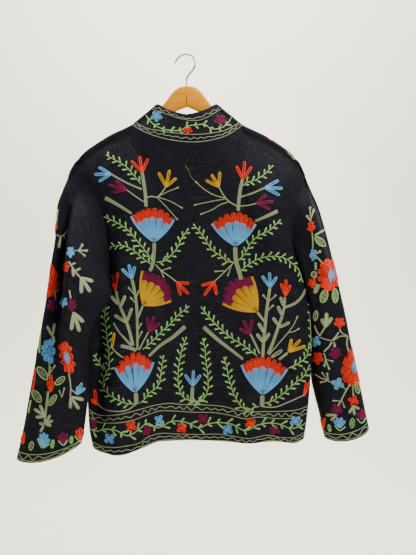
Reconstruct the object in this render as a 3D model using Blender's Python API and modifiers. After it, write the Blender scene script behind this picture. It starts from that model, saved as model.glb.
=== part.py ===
"""An embroidered suzani jacket hanging on a wooden hanger with a wire hook.

The jacket hangs as it does on a wall, seen from its back. The origin is the inner top of the
hook's crook, +Z is up, the jacket's back faces -Y and its open front faces +Y. The wearer's
left is at -X. Tables are in millimetres, and each piece becomes one closed solid.
"""

import math

import bmesh
import bpy
import numpy as np
from mathutils import Matrix, Vector

MM = 0.001

# Cloth and seams
CLOTH_WALL = 1.4
SEAM_GAP = 0.7
NECK_POINT_X = 115.0
BAND_WIDTH = 60.0
SHOULDER_TIP_X = 226.0
MERGE_DISTANCE = 0.01

# Wooden hanger
WOOD_THICKNESS = 12.0
WOOD_TIP_X = 213.0
WOOD_TIP_ROUNDING = 12.0
WOOD_ROUNDNESS = 2.5
WOOD_COLUMNS = 44
WOOD_SIDES = 16
WOOD_TIP_CROWDING = 0.8
ARM_SWEEP = 0.052
OVER_ARM_RADIUS = 10.0
BELOW_WOOD = 6.0

# Wire hook
WIRE_RADIUS = 1.7
HOOK_X = -1.0
BORE_RADIUS = 2.1
BORE_DEPTH = 14.0
BORE_ABOVE = 4.0
HOOK_POINTS = 40

# Rows and columns of the body panels: the first rows turn over the hanger's arm
RIDGE_ROWS_MM = (0.0, 0.35, 1.5, 3.8, 7.5, 14.0)
PANEL_LENGTH = 600.0
ARMHOLE_ROWS = 9
SIDE_ROWS = 9
ARMHOLE_SHARE = 0.42
SHOULDER_COLUMNS = (0.0, 0.0006, 0.004, 0.015, 0.045, 0.1, 0.17)
NECK_COLUMNS = 20
NECK_CROWDING = 2.5
BAND_COLUMNS = 4
FRONT_COLUMNS = (0.0, 0.003, 0.016, 0.05, 0.12, 0.24, 0.4, 0.6, 0.8, 1.0)

# Body panels: the share of the length in which depth settles, how closely depth changes keep
# to the side edges, how far a side turns round, and where folds fade out before an edge
BACK_SETTLE = 0.34
FRONT_SETTLE = 0.3
BACK_EDGE_POWER = 7.0
FRONT_EDGE_POWER = 5.0
BACK_TURN = (0.12, 0.12)
FRONT_TURN = (0.3, 0.0)
ROUND_FROM = 0.2
BACK_FOLD_FADE = 0.05
FRONT_FOLD_FADE = (0.1, 0.15)

# Clearances along the seams
RIDGE_INSET = 0.008
COLLAR_END_INSET = 0.1
SIDE_INSET = 5.0e-6
UNDERARM_EASE = 0.03
NECK_EASE = 0.02
TIP_SHARE = 0.07
TIP_EXTRA = 2.6

# Sleeves: rows, and how they leave the armhole
SLEEVE_ROWS = 20
SLEEVE_CROWDING = 1.5
SLEEVE_JOIN = 0.11
SLEEVE_GAP = 0.45
SLEEVE_EVEN_BY = 0.2
SLOPE_STEP = 0.02
BACK_STEP_IN = 0.02
FRONT_STEP_IN = 0.05


class Table:
    """Rows of named columns, read smoothly by their first column."""

    def __init__(self, names, rows):
        self.names = names.split()
        values = np.array(rows, dtype=float)
        self.keys = values[:, 0]
        self.values = values[:, 1:]
        step = np.diff(self.keys)[:, None]
        slope = np.diff(self.values, axis=0) / step
        self.slopes = np.empty_like(self.values)
        self.slopes[0] = slope[0]
        self.slopes[-1] = slope[-1]
        agree = slope[:-1] * slope[1:] > 0.0
        total = np.where(agree, slope[:-1] + slope[1:], 1.0)
        self.slopes[1:-1] = np.where(agree, 2.0 * slope[:-1] * slope[1:] / total, 0.0)

    def __call__(self, where):
        where = np.clip(np.asarray(where, dtype=float), self.keys[0], self.keys[-1])
        row = np.clip(np.searchsorted(self.keys, where) - 1, 0, len(self.keys) - 2)
        span = (self.keys[row + 1] - self.keys[row])[..., None]
        t = (where - self.keys[row])[..., None] / span
        low, high = self.values[row], self.values[row + 1]
        a, b = self.slopes[row] * span, self.slopes[row + 1] * span
        rise = t * t * (3.0 - 2.0 * t)
        return low + (high - low) * rise + a * t * (1.0 - t) ** 2 - b * t * t * (1.0 - t)

    def column(self, name, where):
        return self(where)[..., self.names.index(name) - 1]


# Top of the wood and its underside, by distance from the middle
WOOD_TOP = Table("x z", [
    (0, -63.6), (12, -65.0), (25, -72.0), (38, -87.0), (50, -102.5), (70, -117.5),
    (115, -144.7), (157, -164.2), (190, -184.2), (213, -201.5), (230, -219.0)])
WOOD_BOTTOM = Table("x z", [
    (0, -106.5), (20, -114.5), (50, -129.0), (115, -165.0), (160, -186.0), (213, -213.0)])

# Crest of the cloth over the arms, by distance from the middle
CREST = Table("x z", [
    (0, -60.9), (25, -69.3), (38, -84.3), (50, -99.0), (61.5, -100.0), (75, -110.6),
    (95, -126.3), (115, -142.0), (157, -161.5), (190, -181.5), (213, -198.0), (226, -213.0)])

# Seam of the collar and the back, and the collar's free edge
NECK_SEAM = Table("x y z", [
    (0, -40, -188), (30, -39.5, -185.5), (53, -37, -180), (83, -27, -166), (101, -11, -154),
    (109, -4, -148), (115, 5.98, -142)])
COLLAR_EDGE = Table("x y z", [
    (0, -26, -128), (24, -23, -122), (44, -13.5, -112), (55, -5, -103.5), (61.5, 3.2, -100)])

# Armholes from the shoulder tip to the underarm, on the back and on the front
LEFT_BACK_ARMHOLE = Table("t x y z", [
    (0, -226, 11.75, -213), (0.12, -227, 0, -240), (0.25, -207, -14, -264),
    (0.38, -187, -24, -287), (0.5, -169, -31, -325), (0.7, -157, -32, -375),
    (0.85, -152, -28, -425), (1, -152, -15, -472)])
LEFT_FRONT_ARMHOLE = Table("t x y z", [
    (0, -226, 11.75, -213), (0.15, -221, 24, -255), (0.3, -206, 31, -285),
    (0.5, -189, 34, -330), (0.7, -177, 32, -380), (0.85, -163, 18, -425), (1, -152, -15, -472)])
RIGHT_BACK_ARMHOLE = Table("t x y z", [
    (0, 226, 11.75, -213), (0.12, 230, -1, -243), (0.2, 224, -14, -264),
    (0.35, 213, -29, -302), (0.5, 210, -36, -346), (0.7, 214, -36, -398),
    (0.85, 226, -29, -440), (1, 242, -8, -471)])
RIGHT_FRONT_ARMHOLE = Table("t x y z", [
    (0, 226, 11.75, -213), (0.12, 230, 21, -245), (0.2, 226, 27, -264),
    (0.35, 216, 33, -302), (0.5, 212, 34, -346), (0.7, 215, 32, -398),
    (0.85, 227, 20, -440), (1, 242, -8, -471)])

# Side seams from the underarm to the hem
LEFT_SIDE = Table("t x y z", [
    (0, -152, -15, -472), (0.1, -168, -9, -505), (0.28, -197, -3, -562), (0.4, -203, 0, -602),
    (0.7, -202, -3, -700), (0.9, -198, -5, -763), (1, -191, -8, -796)])
RIGHT_SIDE = Table("t x y z", [
    (0, 242, -8, -471), (0.1, 248, -4, -502), (0.35, 254, 0, -583), (0.6, 252, 0, -656),
    (0.77, 248, -2, -707), (0.9, 243, -4, -750), (1, 238, -6, -779)])

# Hems, by share of the width
BACK_HEM = Table("u x y z", [
    (0, -191, -8, -796), (0.04, -175, -26, -800), (0.09, -154, -38, -801),
    (0.17, -119, -44, -798), (0.25, -85, -44, -791), (0.33, -52, -42, -782),
    (0.5, 18, -42, -781), (0.7, 104, -44, -782), (0.85, 172, -44, -781),
    (0.95, 215, -32, -783), (1, 238, -6, -779)])
LEFT_FRONT_HEM = Table("u x y z", [
    (0, -191, -8, -796), (0.15, -172, 18, -797), (0.4, -140, 31, -794), (1, -66, 34, -786)])
RIGHT_FRONT_HEM = Table("u x y z", [
    (0, 238, -6, -779), (0.12, 218, 18, -782), (0.3, 187, 31, -784), (1, 66, 34, -786)])

# Long front band: its seam with the front and its free inner edge
BAND_SEAM = Table("t x y z", [
    (0, 115, 5.98, -142), (0.05, 112, 19, -163), (0.15, 105, 27, -213), (0.3, 92, 31, -293),
    (0.45, 77, 33, -373), (0.55, 70, 34, -425), (1, 66, 34, -786)])
BAND_EDGE = Table("t x y z", [
    (0, 61.5, 3.2, -100), (0.05, 57, 17, -130), (0.15, 47, 25, -184), (0.3, 30, 30, -268),
    (0.45, 14, 33, -352), (0.55, 7, 34, -412), (1, 6, 34, -786)])

# Soft folds of the back: the line's x at both ends, its heights, depth to the outside, width
BACK_FOLDS = [
    dict(x_top=-176, x_low=-172, z_top=-455, z_full=-560, z_low=-720, z_end=-800, out=-24, wide=19),
    dict(x_top=-132, x_low=-122, z_top=-540, z_full=-790, z_low=-900, z_end=-950, out=34, wide=36),
    dict(x_top=-132, x_low=-140, z_top=-330, z_full=-470, z_low=-620, z_end=-760, out=9, wide=26),
    dict(x_top=0, x_low=10, z_top=-450, z_full=-640, z_low=-900, z_end=-950, out=-9, wide=58),
    dict(x_top=118, x_low=128, z_top=-560, z_full=-740, z_low=-900, z_end=-950, out=13, wide=26),
    dict(x_top=204, x_low=214, z_top=-500, z_full=-640, z_low=-900, z_end=-950, out=8, wide=18),
    dict(x_top=-96, x_low=-120, z_top=-250, z_full=-300, z_low=-400, z_end=-470, out=7, wide=24),
    dict(x_top=150, x_low=176, z_top=-250, z_full=-320, z_low=-430, z_end=-520, out=7, wide=26)]
FRONT_FOLDS = [
    dict(x_top=-150, x_low=-138, z_top=-520, z_full=-700, z_low=-900, z_end=-950, out=14, wide=26),
    dict(x_top=-100, x_low=-98, z_top=-440, z_full=-600, z_low=-900, z_end=-950, out=-8, wide=20),
    dict(x_top=184, x_low=178, z_top=-520, z_full=-680, z_low=-900, z_end=-950, out=12, wide=28),
    dict(x_top=120, x_low=122, z_top=-450, z_full=-640, z_low=-900, z_end=-950, out=-7, wide=24)]

# Sleeves: outer and inner line, depth of the tube's middle, how far the inner line leans
# towards the back of it, half the tube's depth, roundness, and how far the cuff's edge sags
LEFT_SLEEVE = Table("v tx tz bx bz middle lean half power sag", [
    (0, -226, -213, -152, -472, -2, 10, 34, 2.2, 0),
    (0.05, -236, -243, -159, -482, -24, 17, 36, 2.2, 0),
    (0.12, -248, -280, -160, -494, -38, 14, 38, 2.3, 0),
    (0.2, -256, -318, -161, -507, -48, 9, 40, 2.3, 0),
    (0.3, -256, -372, -171, -523, -57, 5, 41, 2.3, 0),
    (0.4, -262, -425, -181, -547, -62, 3, 40, 2.3, 0),
    (0.5, -269, -483, -190, -577, -64, 2, 38, 2.3, 0),
    (0.6, -279, -545, -194.5, -612, -65, 0, 37, 2.3, 0),
    (0.7, -290, -608, -194, -650, -65, 0, 36, 2.3, 0),
    (0.8, -303, -677, -195, -697, -63, 0, 35, 2.3, 2),
    (0.9, -317, -751, -199, -748, -61, 0, 34, 2.2, 6),
    (1, -330, -808, -205, -780, -60, 0, 33, 2.2, 12)])
RIGHT_SLEEVE = Table("v tx tz bx bz middle lean half power sag", [
    (0, 226, -213, 242, -471, -2, 4, 34, 2.2, 0),
    (0.05, 237, -241, 251, -482, -9, 12, 37, 2.2, 0),
    (0.12, 250, -270, 256, -498, -11, 12, 40, 2.3, 0),
    (0.2, 266, -311, 257.5, -519, -11, 3, 42, 2.3, 0),
    (0.3, 280, -362, 258, -545, -8, -7, 43, 2.3, 0),
    (0.4, 294, -419, 257.5, -575, -5, -12, 41, 2.3, 0),
    (0.5, 307, -475, 256.5, -607, -4, -14, 40, 2.3, 0),
    (0.6, 320, -532, 255.5, -635, -4, -14, 40, 2.3, 0),
    (0.7, 332, -592, 256, -664, -5, -12, 39, 2.3, 0),
    (0.8, 345, -650, 261, -694, -8, -8, 38, 2.3, 2),
    (0.9, 357, -706, 270, -734, -12, -3, 37, 2.2, 6),
    (1, 368, -760, 279, -779, -15, 0, 36, 2.2, 8)])

# Folds of the sleeves: angle from the outer line at both ends, where they start, are full,
# begin to fade and end along the sleeve, depth to the outside and width in degrees
LEFT_SLEEVE_FOLDS = [
    dict(a_top=50, a_low=72, start=0.0, full=0.1, fade=0.66, end=0.86, out=-27, wide=20),
    dict(a_top=88, a_low=110, start=0.05, full=0.2, fade=0.4, end=0.65, out=9, wide=22),
    dict(a_top=285, a_low=280, start=0.05, full=0.25, fade=0.6, end=0.9, out=-12, wide=24)]
RIGHT_SLEEVE_FOLDS = [
    dict(a_top=34, a_low=40, start=0.0, full=0.06, fade=0.26, end=0.42, out=-24, wide=17),
    dict(a_top=80, a_low=92, start=0.0, full=0.1, fade=0.3, end=0.55, out=12, wide=26),
    dict(a_top=75, a_low=80, start=0.5, full=0.7, fade=0.85, end=1.0, out=-8, wide=18),
    dict(a_top=285, a_low=280, start=0.05, full=0.25, fade=0.6, end=0.9, out=-10, wide=24)]

# Wire hook: its middle line from the wood to the free end
HOOK_ROUTE = [
    (-1.0, -76.0), (-1.0, -49.0), (2.6, -42.0), (11.6, -31.0), (16.6, -18.5), (13.4, -6.6),
    (6.0, 0.2), (-3.4, 1.7), (-12.4, -1.4), (-20.2, -8.6), (-25.4, -17.0)]


def smooth(t):
    t = np.clip(t, 0.0, 1.0)
    return t * t * (3.0 - 2.0 * t)


def xyz(x, y, z):
    return np.stack(np.broadcast_arrays(x, y, z), axis=-1)


def arm_middle(x):
    return ARM_SWEEP * np.abs(x)


def over_hanger(points, side):
    """Keep a cloth surface outside the rounded crest, side is -1 for the back."""
    x, y, z = points[..., 0], points[..., 1], points[..., 2]
    reach = np.abs(x)
    middle = arm_middle(x)
    drop = np.clip(CREST.column("z", reach) - z, 0.0, OVER_ARM_RADIUS)
    round_top = np.sqrt(drop * (2.0 * OVER_ARM_RADIUS - drop))
    near = (reach < SHOULDER_TIP_X + 1.0) & (z > WOOD_BOTTOM.column("z", reach) - BELOW_WOOD)
    away = side * (y - middle)
    away = np.where(near, np.maximum(away, round_top), away)
    return xyz(x, middle + side * away, z)


def shoulder_line(reach, sign):
    return xyz(sign * reach, arm_middle(reach), CREST.column("z", reach))


def neck_line(x, table):
    points = table(np.abs(x))
    return xyz(x, points[..., 0], points[..., 1])


def side_edge(v, armhole, side):
    """The panel's outer edge: the armhole, then the side seam."""
    on_arm = armhole(v / ARMHOLE_SHARE)
    on_side = side((v - ARMHOLE_SHARE) / (1.0 - ARMHOLE_SHARE))
    return np.where((v <= ARMHOLE_SHARE)[..., None], on_arm, on_side)


def quick(share, width):
    """A share that starts quickly, so that depth leads where a panel turns round its side."""
    return np.where(share < width / 2.0, np.sqrt(2.0 * width * share), share + width / 2.0)


def depth_share(u, left, right):
    total = 1.0 - (left + right) / 2.0
    from_left = quick(u * total, left)
    from_right = 1.0 - quick((1.0 - u) * total, right)
    return np.where(u < 0.5, from_left, from_right)


def patch(u, v, top, bottom, left, right, hang, edge_power, turn):
    """A panel between its four edges, whose depth settles just below the top edge."""
    u, v = u[..., None], v[..., None]
    beside = smooth((v - ROUND_FROM) / (ARMHOLE_SHARE - ROUND_FROM))
    d = u + (depth_share(u, *turn) - u) * beside
    near_top, near_hem = top(u[..., 0]), bottom(u[..., 0])
    at_left, at_right = left(v[..., 0]), right(v[..., 0])
    zero, one = np.zeros(1), np.ones(1)
    corners = ((1 - u) * (1 - v) * top(zero) + u * (1 - v) * top(one)
               + (1 - u) * v * bottom(zero) + u * v * bottom(one))
    flat = (1 - v) * near_top + v * near_hem + (1 - u) * at_left + u * at_right - corners
    settle = 1.0 - (1.0 - np.clip(v / hang, 0.0, 1.0)) ** 2
    hem_depth = bottom(d[..., 0])[..., 1:2]
    depth = near_top[..., 1:2] * (1 - settle) + hem_depth * settle
    left_depth = top(zero)[..., 1:2] * (1 - settle) + bottom(zero)[..., 1:2] * settle
    right_depth = top(one)[..., 1:2] * (1 - settle) + bottom(one)[..., 1:2] * settle
    depth = depth + (at_left[..., 1:2] - left_depth) * (1 - d) ** edge_power
    depth = depth + (at_right[..., 1:2] - right_depth) * d ** edge_power
    return xyz(flat[..., 0], depth[..., 0], flat[..., 2])


def add_folds(points, folds, outward, edge_fade):
    x, y, z = points[..., 0], points[..., 1], points[..., 2]
    for fold in folds:
        share = np.clip((fold["z_top"] - z) / (fold["z_top"] - fold["z_low"]), 0.0, 1.0)
        line = fold["x_top"] + (fold["x_low"] - fold["x_top"]) * share
        strength = smooth((fold["z_top"] - z) / (fold["z_top"] - fold["z_full"]))
        strength = strength * smooth((z - fold["z_end"]) / (fold["z_low"] - fold["z_end"]))
        across = np.exp(-((x - line) / fold["wide"]) ** 2)
        y = y + outward * fold["out"] * strength * across * edge_fade
    return xyz(x, y, z)


def panel_rows():
    ridge = np.array(RIDGE_ROWS_MM) / PANEL_LENGTH
    arm = np.linspace(ridge[-1], ARMHOLE_SHARE, ARMHOLE_ROWS + 1)[1:]
    side = np.linspace(ARMHOLE_SHARE, 1.0, SIDE_ROWS + 1)[1:]
    return np.concatenate([ridge, arm, side])


def neck_columns():
    """Shares of the neck seam, closer together where it turns over the arms."""
    half = NECK_COLUMNS // 2
    share = 0.5 * (np.arange(half + 1) / half) ** NECK_CROWDING
    return np.concatenate([share, (1.0 - share)[-2::-1]])


def at_stops(share, stops):
    return np.interp(share * (len(stops) - 1), np.arange(len(stops)), stops)


def inset(share, low, high):
    return low + share * (1.0 - low - high)


def back_columns():
    """Shares across the back: a shoulder, the neck and the other shoulder."""
    shoulder = np.array(SHOULDER_COLUMNS)
    neck = np.linspace(SHOULDER_END, 1.0 - SHOULDER_END, NECK_COLUMNS + 1)
    return np.concatenate([shoulder[:-1], neck, (1.0 - shoulder)[-2::-1]])


SHOULDER_END = SHOULDER_COLUMNS[-1]
ROWS = panel_rows()
NECK = neck_columns()
COLUMNS = back_columns()
ARMHOLE_STOPS = np.append(ROWS[ROWS < ARMHOLE_SHARE], ARMHOLE_SHARE) / ARMHOLE_SHARE


def back_top(u):
    """The back's top edge: left shoulder, neck seam, right shoulder."""
    reach_left = SHOULDER_TIP_X - (SHOULDER_TIP_X - NECK_POINT_X) * u / SHOULDER_END
    reach_right = SHOULDER_TIP_X - (SHOULDER_TIP_X - NECK_POINT_X) * (1 - u) / SHOULDER_END
    left = shoulder_line(reach_left, -1.0)
    right = shoulder_line(reach_right, 1.0)
    share = np.clip((u - SHOULDER_END) / (1.0 - 2.0 * SHOULDER_END), 0.0, 1.0)
    neck = neck_line(NECK_POINT_X * (2.0 * at_stops(share, NECK) - 1.0), NECK_SEAM)
    points = np.where((u < SHOULDER_END)[..., None], left, neck)
    return np.where((u > 1.0 - SHOULDER_END)[..., None], right, points)


def back_surface(u, v):
    points = patch(
        u, v, back_top, BACK_HEM,
        lambda t: side_edge(t, LEFT_BACK_ARMHOLE, LEFT_SIDE),
        lambda t: side_edge(t, RIGHT_BACK_ARMHOLE, RIGHT_SIDE),
        BACK_SETTLE, BACK_EDGE_POWER, BACK_TURN)
    fade = smooth(np.minimum(u, 1.0 - u) / BACK_FOLD_FADE)
    return over_hanger(add_folds(points, BACK_FOLDS, -1.0, fade), -1.0)


def front_surface(sign, armhole, side, hem):
    def surface(u, v):
        points = patch(
            u, v,
            lambda t: shoulder_line(SHOULDER_TIP_X - (SHOULDER_TIP_X - NECK_POINT_X) * t, sign),
            hem, lambda t: side_edge(t, armhole, side), lambda t: band_line(BAND_SEAM, t, sign),
            FRONT_SETTLE, FRONT_EDGE_POWER, FRONT_TURN)
        fade = smooth(u / FRONT_FOLD_FADE[0]) * smooth((1.0 - u) / FRONT_FOLD_FADE[1])
        return over_hanger(add_folds(points, FRONT_FOLDS, 1.0, fade), 1.0)
    return surface


def band_line(table, t, sign):
    points = table(t)
    return xyz(sign * points[..., 0], points[..., 1], points[..., 2])


def band_surface(sign):
    def surface(u, v):
        seam = over_hanger(band_line(BAND_SEAM, v, sign), 1.0)
        edge = over_hanger(band_line(BAND_EDGE, v, sign), 1.0)
        return over_hanger(seam + (edge - seam) * u[..., None], 1.0)
    return surface


def collar_surface(u, v):
    """v runs from the neck seam up to the free edge."""
    share = 2.0 * u - 1.0
    low = neck_line(NECK_POINT_X * share, NECK_SEAM)
    high = neck_line(COLLAR_EDGE.keys[-1] * share, COLLAR_EDGE)
    return over_hanger(low + (high - low) * v[..., None], -1.0)


def tube(row, angle):
    """A point of the sleeve's round form, angle 0 is on its outer line."""
    tx, tz, bx, bz, middle, lean, half, power, sag = np.moveaxis(row, -1, 0)
    along = np.cos(angle)
    across = np.sin(angle)
    c = np.sign(along) * np.abs(along) ** (2.0 / power)
    s = np.sign(across) * np.abs(across) ** (2.0 / power)
    x = (tx + bx) / 2.0 + (tx - bx) / 2.0 * c
    z = (tz + bz) / 2.0 + (tz - bz) / 2.0 * c - sag * (1.0 - c ** 2)
    return xyz(x, middle + lean * c - half * s, z)


def sleeve_folds(angle, v, folds):
    degrees = np.degrees(angle)
    out = np.zeros_like(v)
    for fold in folds:
        line = fold["a_top"] + (fold["a_low"] - fold["a_top"]) * v
        strength = smooth((v - fold["start"]) / (fold["full"] - fold["start"]))
        strength = strength * smooth((fold["end"] - v) / (fold["end"] - fold["fade"]))
        out = out + fold["out"] * strength * np.exp(-((degrees - line) / fold["wide"]) ** 2)
    return out


def armhole_ring(share, back, front):
    """share runs once round the armhole: down the back, then up the front."""
    down = share <= 0.5
    t = at_stops(np.where(down, 2.0 * share, 2.0 - 2.0 * share), ARMHOLE_STOPS)
    return np.where(down[..., None], back(t), front(t)), t


def sleeve_surface(table, folds, back, front, panel_back, panel_front, seam_u):
    """A tube that leaves the armhole in line with the panels and turns into its round form."""
    def surface(u, v):
        on_back = u <= 0.5
        seam, t = armhole_ring(u, back, front)
        seam_angle = np.where(on_back, math.pi * t, 2.0 * math.pi - math.pi * t)
        even_angle = 2.0 * math.pi * u
        angle = seam_angle + (even_angle - seam_angle) * smooth(v / SLEEVE_EVEN_BY)
        start = tube(table(np.zeros_like(v)), angle)
        ahead = tube(table(np.full_like(v, SLOPE_STEP)), angle)
        slope = (ahead - start) / SLOPE_STEP

        panel_v = t * ARMHOLE_SHARE
        near_back = panel_back(np.full_like(u, abs(seam_u - BACK_STEP_IN)), panel_v)
        near_front = panel_front(np.full_like(u, FRONT_STEP_IN), panel_v)
        leave = seam - np.where(on_back[..., None], near_back, near_front)
        leave = leave / np.maximum(np.linalg.norm(leave, axis=-1, keepdims=True), 1e-6)
        reach = np.linalg.norm(slope, axis=-1, keepdims=True)

        low = (1.0 - np.cos(seam_angle)) / 2.0
        turn = np.where(on_back, 1.0 - low, 1.0 - low ** 3)[..., None]
        join = np.clip(v / SLEEVE_JOIN, 0.0, 1.0)[..., None]
        shift = (seam + leave * SLEEVE_GAP - start) * (1.0 - smooth(join))
        lead = turn * (leave * reach - slope) * v[..., None] * (1.0 - join) ** 2
        out = -np.sign(np.sin(angle)) * sleeve_folds(angle, v, folds)
        return tube(table(v), angle) + shift + lead + xyz(0.0, out, 0.0)
    return surface


def plain_material(name, colour, roughness, metallic):
    material = bpy.data.materials.new(name)
    material.use_nodes = True
    shader = material.node_tree.nodes["Principled BSDF"]
    shader.inputs["Base Color"].default_value = (*colour, 1.0)
    shader.inputs["Roughness"].default_value = roughness
    shader.inputs["Metallic"].default_value = metallic
    return material


def mesh_object(name, bm, material, collection):
    mesh = bpy.data.meshes.new(name)
    bm.to_mesh(mesh)
    bm.free()
    mesh.materials.append(material)
    mesh.shade_smooth()
    item = bpy.data.objects.new(name, mesh)
    collection.objects.link(item)
    return item


def mapped_grid(columns, rows, place):
    """A grid whose points a surface function puts in place, in millimetres."""
    bm = bmesh.new()
    bmesh.ops.create_grid(bm, x_segments=columns, y_segments=rows, size=0.5)
    shares = np.array([vertex.co[:2] for vertex in bm.verts], dtype=float) + 0.5
    points = place(np.round(shares[:, 0], 6), np.round(shares[:, 1], 6)) * MM
    for vertex, point in zip(bm.verts, points):
        vertex.co = Vector(point)
    return bm


def face_outwards(bm, inside):
    """Turn an open surface so that its faces look away from a point inside."""
    bm.normal_update()
    centre = Vector(inside) * MM
    facing = sum(face.normal.dot(face.calc_center_median() - centre) for face in bm.faces)
    if facing < 0.0:
        bmesh.ops.reverse_faces(bm, faces=bm.faces)


def cloth_wall(name, columns, rows, place, inside, material, collection, closed=False):
    bm = mapped_grid(columns, rows, place)
    if closed:
        bmesh.ops.remove_doubles(bm, verts=bm.verts, dist=MERGE_DISTANCE * MM)
    face_outwards(bm, inside)
    item = mesh_object(name, bm, material, collection)
    wall = item.modifiers.new("Wall", "SOLIDIFY")
    wall.thickness = CLOTH_WALL * MM
    wall.offset = -1.0
    wall.use_rim = True
    wall.use_even_offset = False
    return item


def side_gap(v, width):
    """Share left free at a panel's outer edge: more along the armhole than at the side."""
    on_side = smooth((v - ARMHOLE_SHARE) / UNDERARM_EASE + 1.0)
    at_tip = 1.0 - smooth(v / TIP_SHARE)
    on_arm = SEAM_GAP / 2.0 * (1.0 + TIP_EXTRA * at_tip) / width
    return on_arm * (1.0 - on_side) + SIDE_INSET * on_side


def build_back(material, collection):
    ridge = RIDGE_INSET / PANEL_LENGTH
    neck = SEAM_GAP / 2.0 / PANEL_LENGTH

    def place(u, v):
        u, v = at_stops(u, COLUMNS), at_stops(v, ROWS)
        side = side_gap(v, 2.0 * SHOULDER_TIP_X)
        under_neck = smooth((np.minimum(u, 1.0 - u) - SHOULDER_END) / NECK_EASE)
        top = ridge + (neck - ridge) * under_neck
        return back_surface(inset(u, side, side), inset(v, top, 0.0))
    cloth_wall("back_panel", len(COLUMNS) - 1, len(ROWS) - 1, place, (20, 30, -480), material,
               collection)


def build_front(name, surface, inside, material, collection):
    top = RIDGE_INSET / PANEL_LENGTH
    width = SHOULDER_TIP_X - NECK_POINT_X

    def place(u, v):
        u, v = at_stops(u, FRONT_COLUMNS), at_stops(v, ROWS)
        across = inset(u, side_gap(v, width), SEAM_GAP / 2.0 / width)
        return surface(across, inset(v, top, 0.0))
    cloth_wall(name, len(FRONT_COLUMNS) - 1, len(ROWS) - 1, place, inside, material, collection)


def build_band(name, sign, material, collection):
    surface = band_surface(sign)
    top = RIDGE_INSET / PANEL_LENGTH
    edge = SEAM_GAP / 2.0 / BAND_WIDTH

    def place(u, v):
        return surface(inset(u, edge, 0.0), inset(at_stops(v, ROWS), top, 0.0))
    cloth_wall(name, BAND_COLUMNS, len(ROWS) - 1, place, (sign * 60, -40, -480), material,
               collection)


def build_collar(material, collection):
    end = COLLAR_END_INSET / (2.0 * NECK_POINT_X)
    low = SEAM_GAP / 2.0 / BAND_WIDTH

    def place(u, v):
        return collar_surface(inset(at_stops(u, NECK), end, end), inset(v, low, 0.0))
    cloth_wall("collar", NECK_COLUMNS, BAND_COLUMNS, place, (0, 60, -140), material, collection)


def build_sleeve(name, surface, inside, material, collection):
    around = 2 * (len(ARMHOLE_STOPS) - 1)

    def place(u, v):
        return surface(u % 1.0, v ** SLEEVE_CROWDING)
    cloth_wall(name, around, SLEEVE_ROWS, place, inside, material, collection, closed=True)


def wood_surface(u, v):
    """u runs from tip to tip, v once round the section."""
    x = WOOD_TIP_X * (2.0 * u - 1.0)
    reach = np.abs(x)
    tip = np.clip((reach - (WOOD_TIP_X - WOOD_TIP_ROUNDING)) / WOOD_TIP_ROUNDING, 0.0, 1.0)
    shrink = np.sqrt(np.maximum(1.0 - tip ** 2, 0.0))
    top, bottom = WOOD_TOP.column("z", reach), WOOD_BOTTOM.column("z", reach)
    angle = 2.0 * math.pi * v
    power = 2.0 / WOOD_ROUNDNESS
    c = np.sign(np.cos(angle)) * np.abs(np.cos(angle)) ** power
    s = np.sign(np.sin(angle)) * np.abs(np.sin(angle)) ** power
    y = arm_middle(x) + WOOD_THICKNESS / 2.0 * shrink * s
    z = (top + bottom) / 2.0 + (top - bottom) / 2.0 * shrink * c
    return xyz(x, y, z)


def build_hanger(wood, steel, collection, cutters):
    def place(u, v):
        half = np.where(u < 0.5, -1.0, 1.0) * np.abs(2.0 * u - 1.0) ** WOOD_TIP_CROWDING
        return wood_surface(0.5 + half / 2.0, v % 1.0)
    bm = mapped_grid(WOOD_COLUMNS, WOOD_SIDES, place)
    bmesh.ops.remove_doubles(bm, verts=bm.verts, dist=MERGE_DISTANCE * MM)
    bmesh.ops.recalc_face_normals(bm, faces=bm.faces)
    bar = mesh_object("hanger_wood", bm, wood, collection)

    bore = bmesh.new()
    top = WOOD_TOP.column("z", 0.0)
    middle = top + (BORE_ABOVE - BORE_DEPTH) / 2.0
    place_bore = Matrix.Translation(Vector((HOOK_X, 0.0, middle)) * MM)
    bmesh.ops.create_cone(
        bore, cap_ends=True, segments=16, radius1=BORE_RADIUS * MM, radius2=BORE_RADIUS * MM,
        depth=(BORE_DEPTH + BORE_ABOVE) * MM, matrix=place_bore)
    cutter = mesh_object("hook_bore", bore, wood, cutters)
    cutter.hide_render = True
    cutter.display_type = "WIRE"
    cut = bar.modifiers.new("Bore", "BOOLEAN")
    cut.operation = "DIFFERENCE"
    cut.object = cutter

    route = np.array(HOOK_ROUTE)
    lengths = np.concatenate([[0.0], np.cumsum(np.hypot(*np.diff(route, axis=0).T))])
    smooth_route = Table("s x z", np.column_stack([lengths, route]))
    path = smooth_route(np.linspace(0.0, lengths[-1], HOOK_POINTS))
    curve = bpy.data.curves.new("hanger_hook", "CURVE")
    curve.dimensions = "3D"
    curve.bevel_depth = WIRE_RADIUS * MM
    curve.bevel_resolution = 2
    curve.use_fill_caps = True
    spline = curve.splines.new("POLY")
    spline.points.add(len(path) - 1)
    for point, (x, z) in zip(spline.points, path):
        point.co = (x * MM, 0.0, z * MM, 1.0)
    curve.materials.append(steel)
    collection.objects.link(bpy.data.objects.new("hanger_hook", curve))


def new_collection(name):
    collection = bpy.data.collections.new(name)
    bpy.context.scene.collection.children.link(collection)
    return collection


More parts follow.
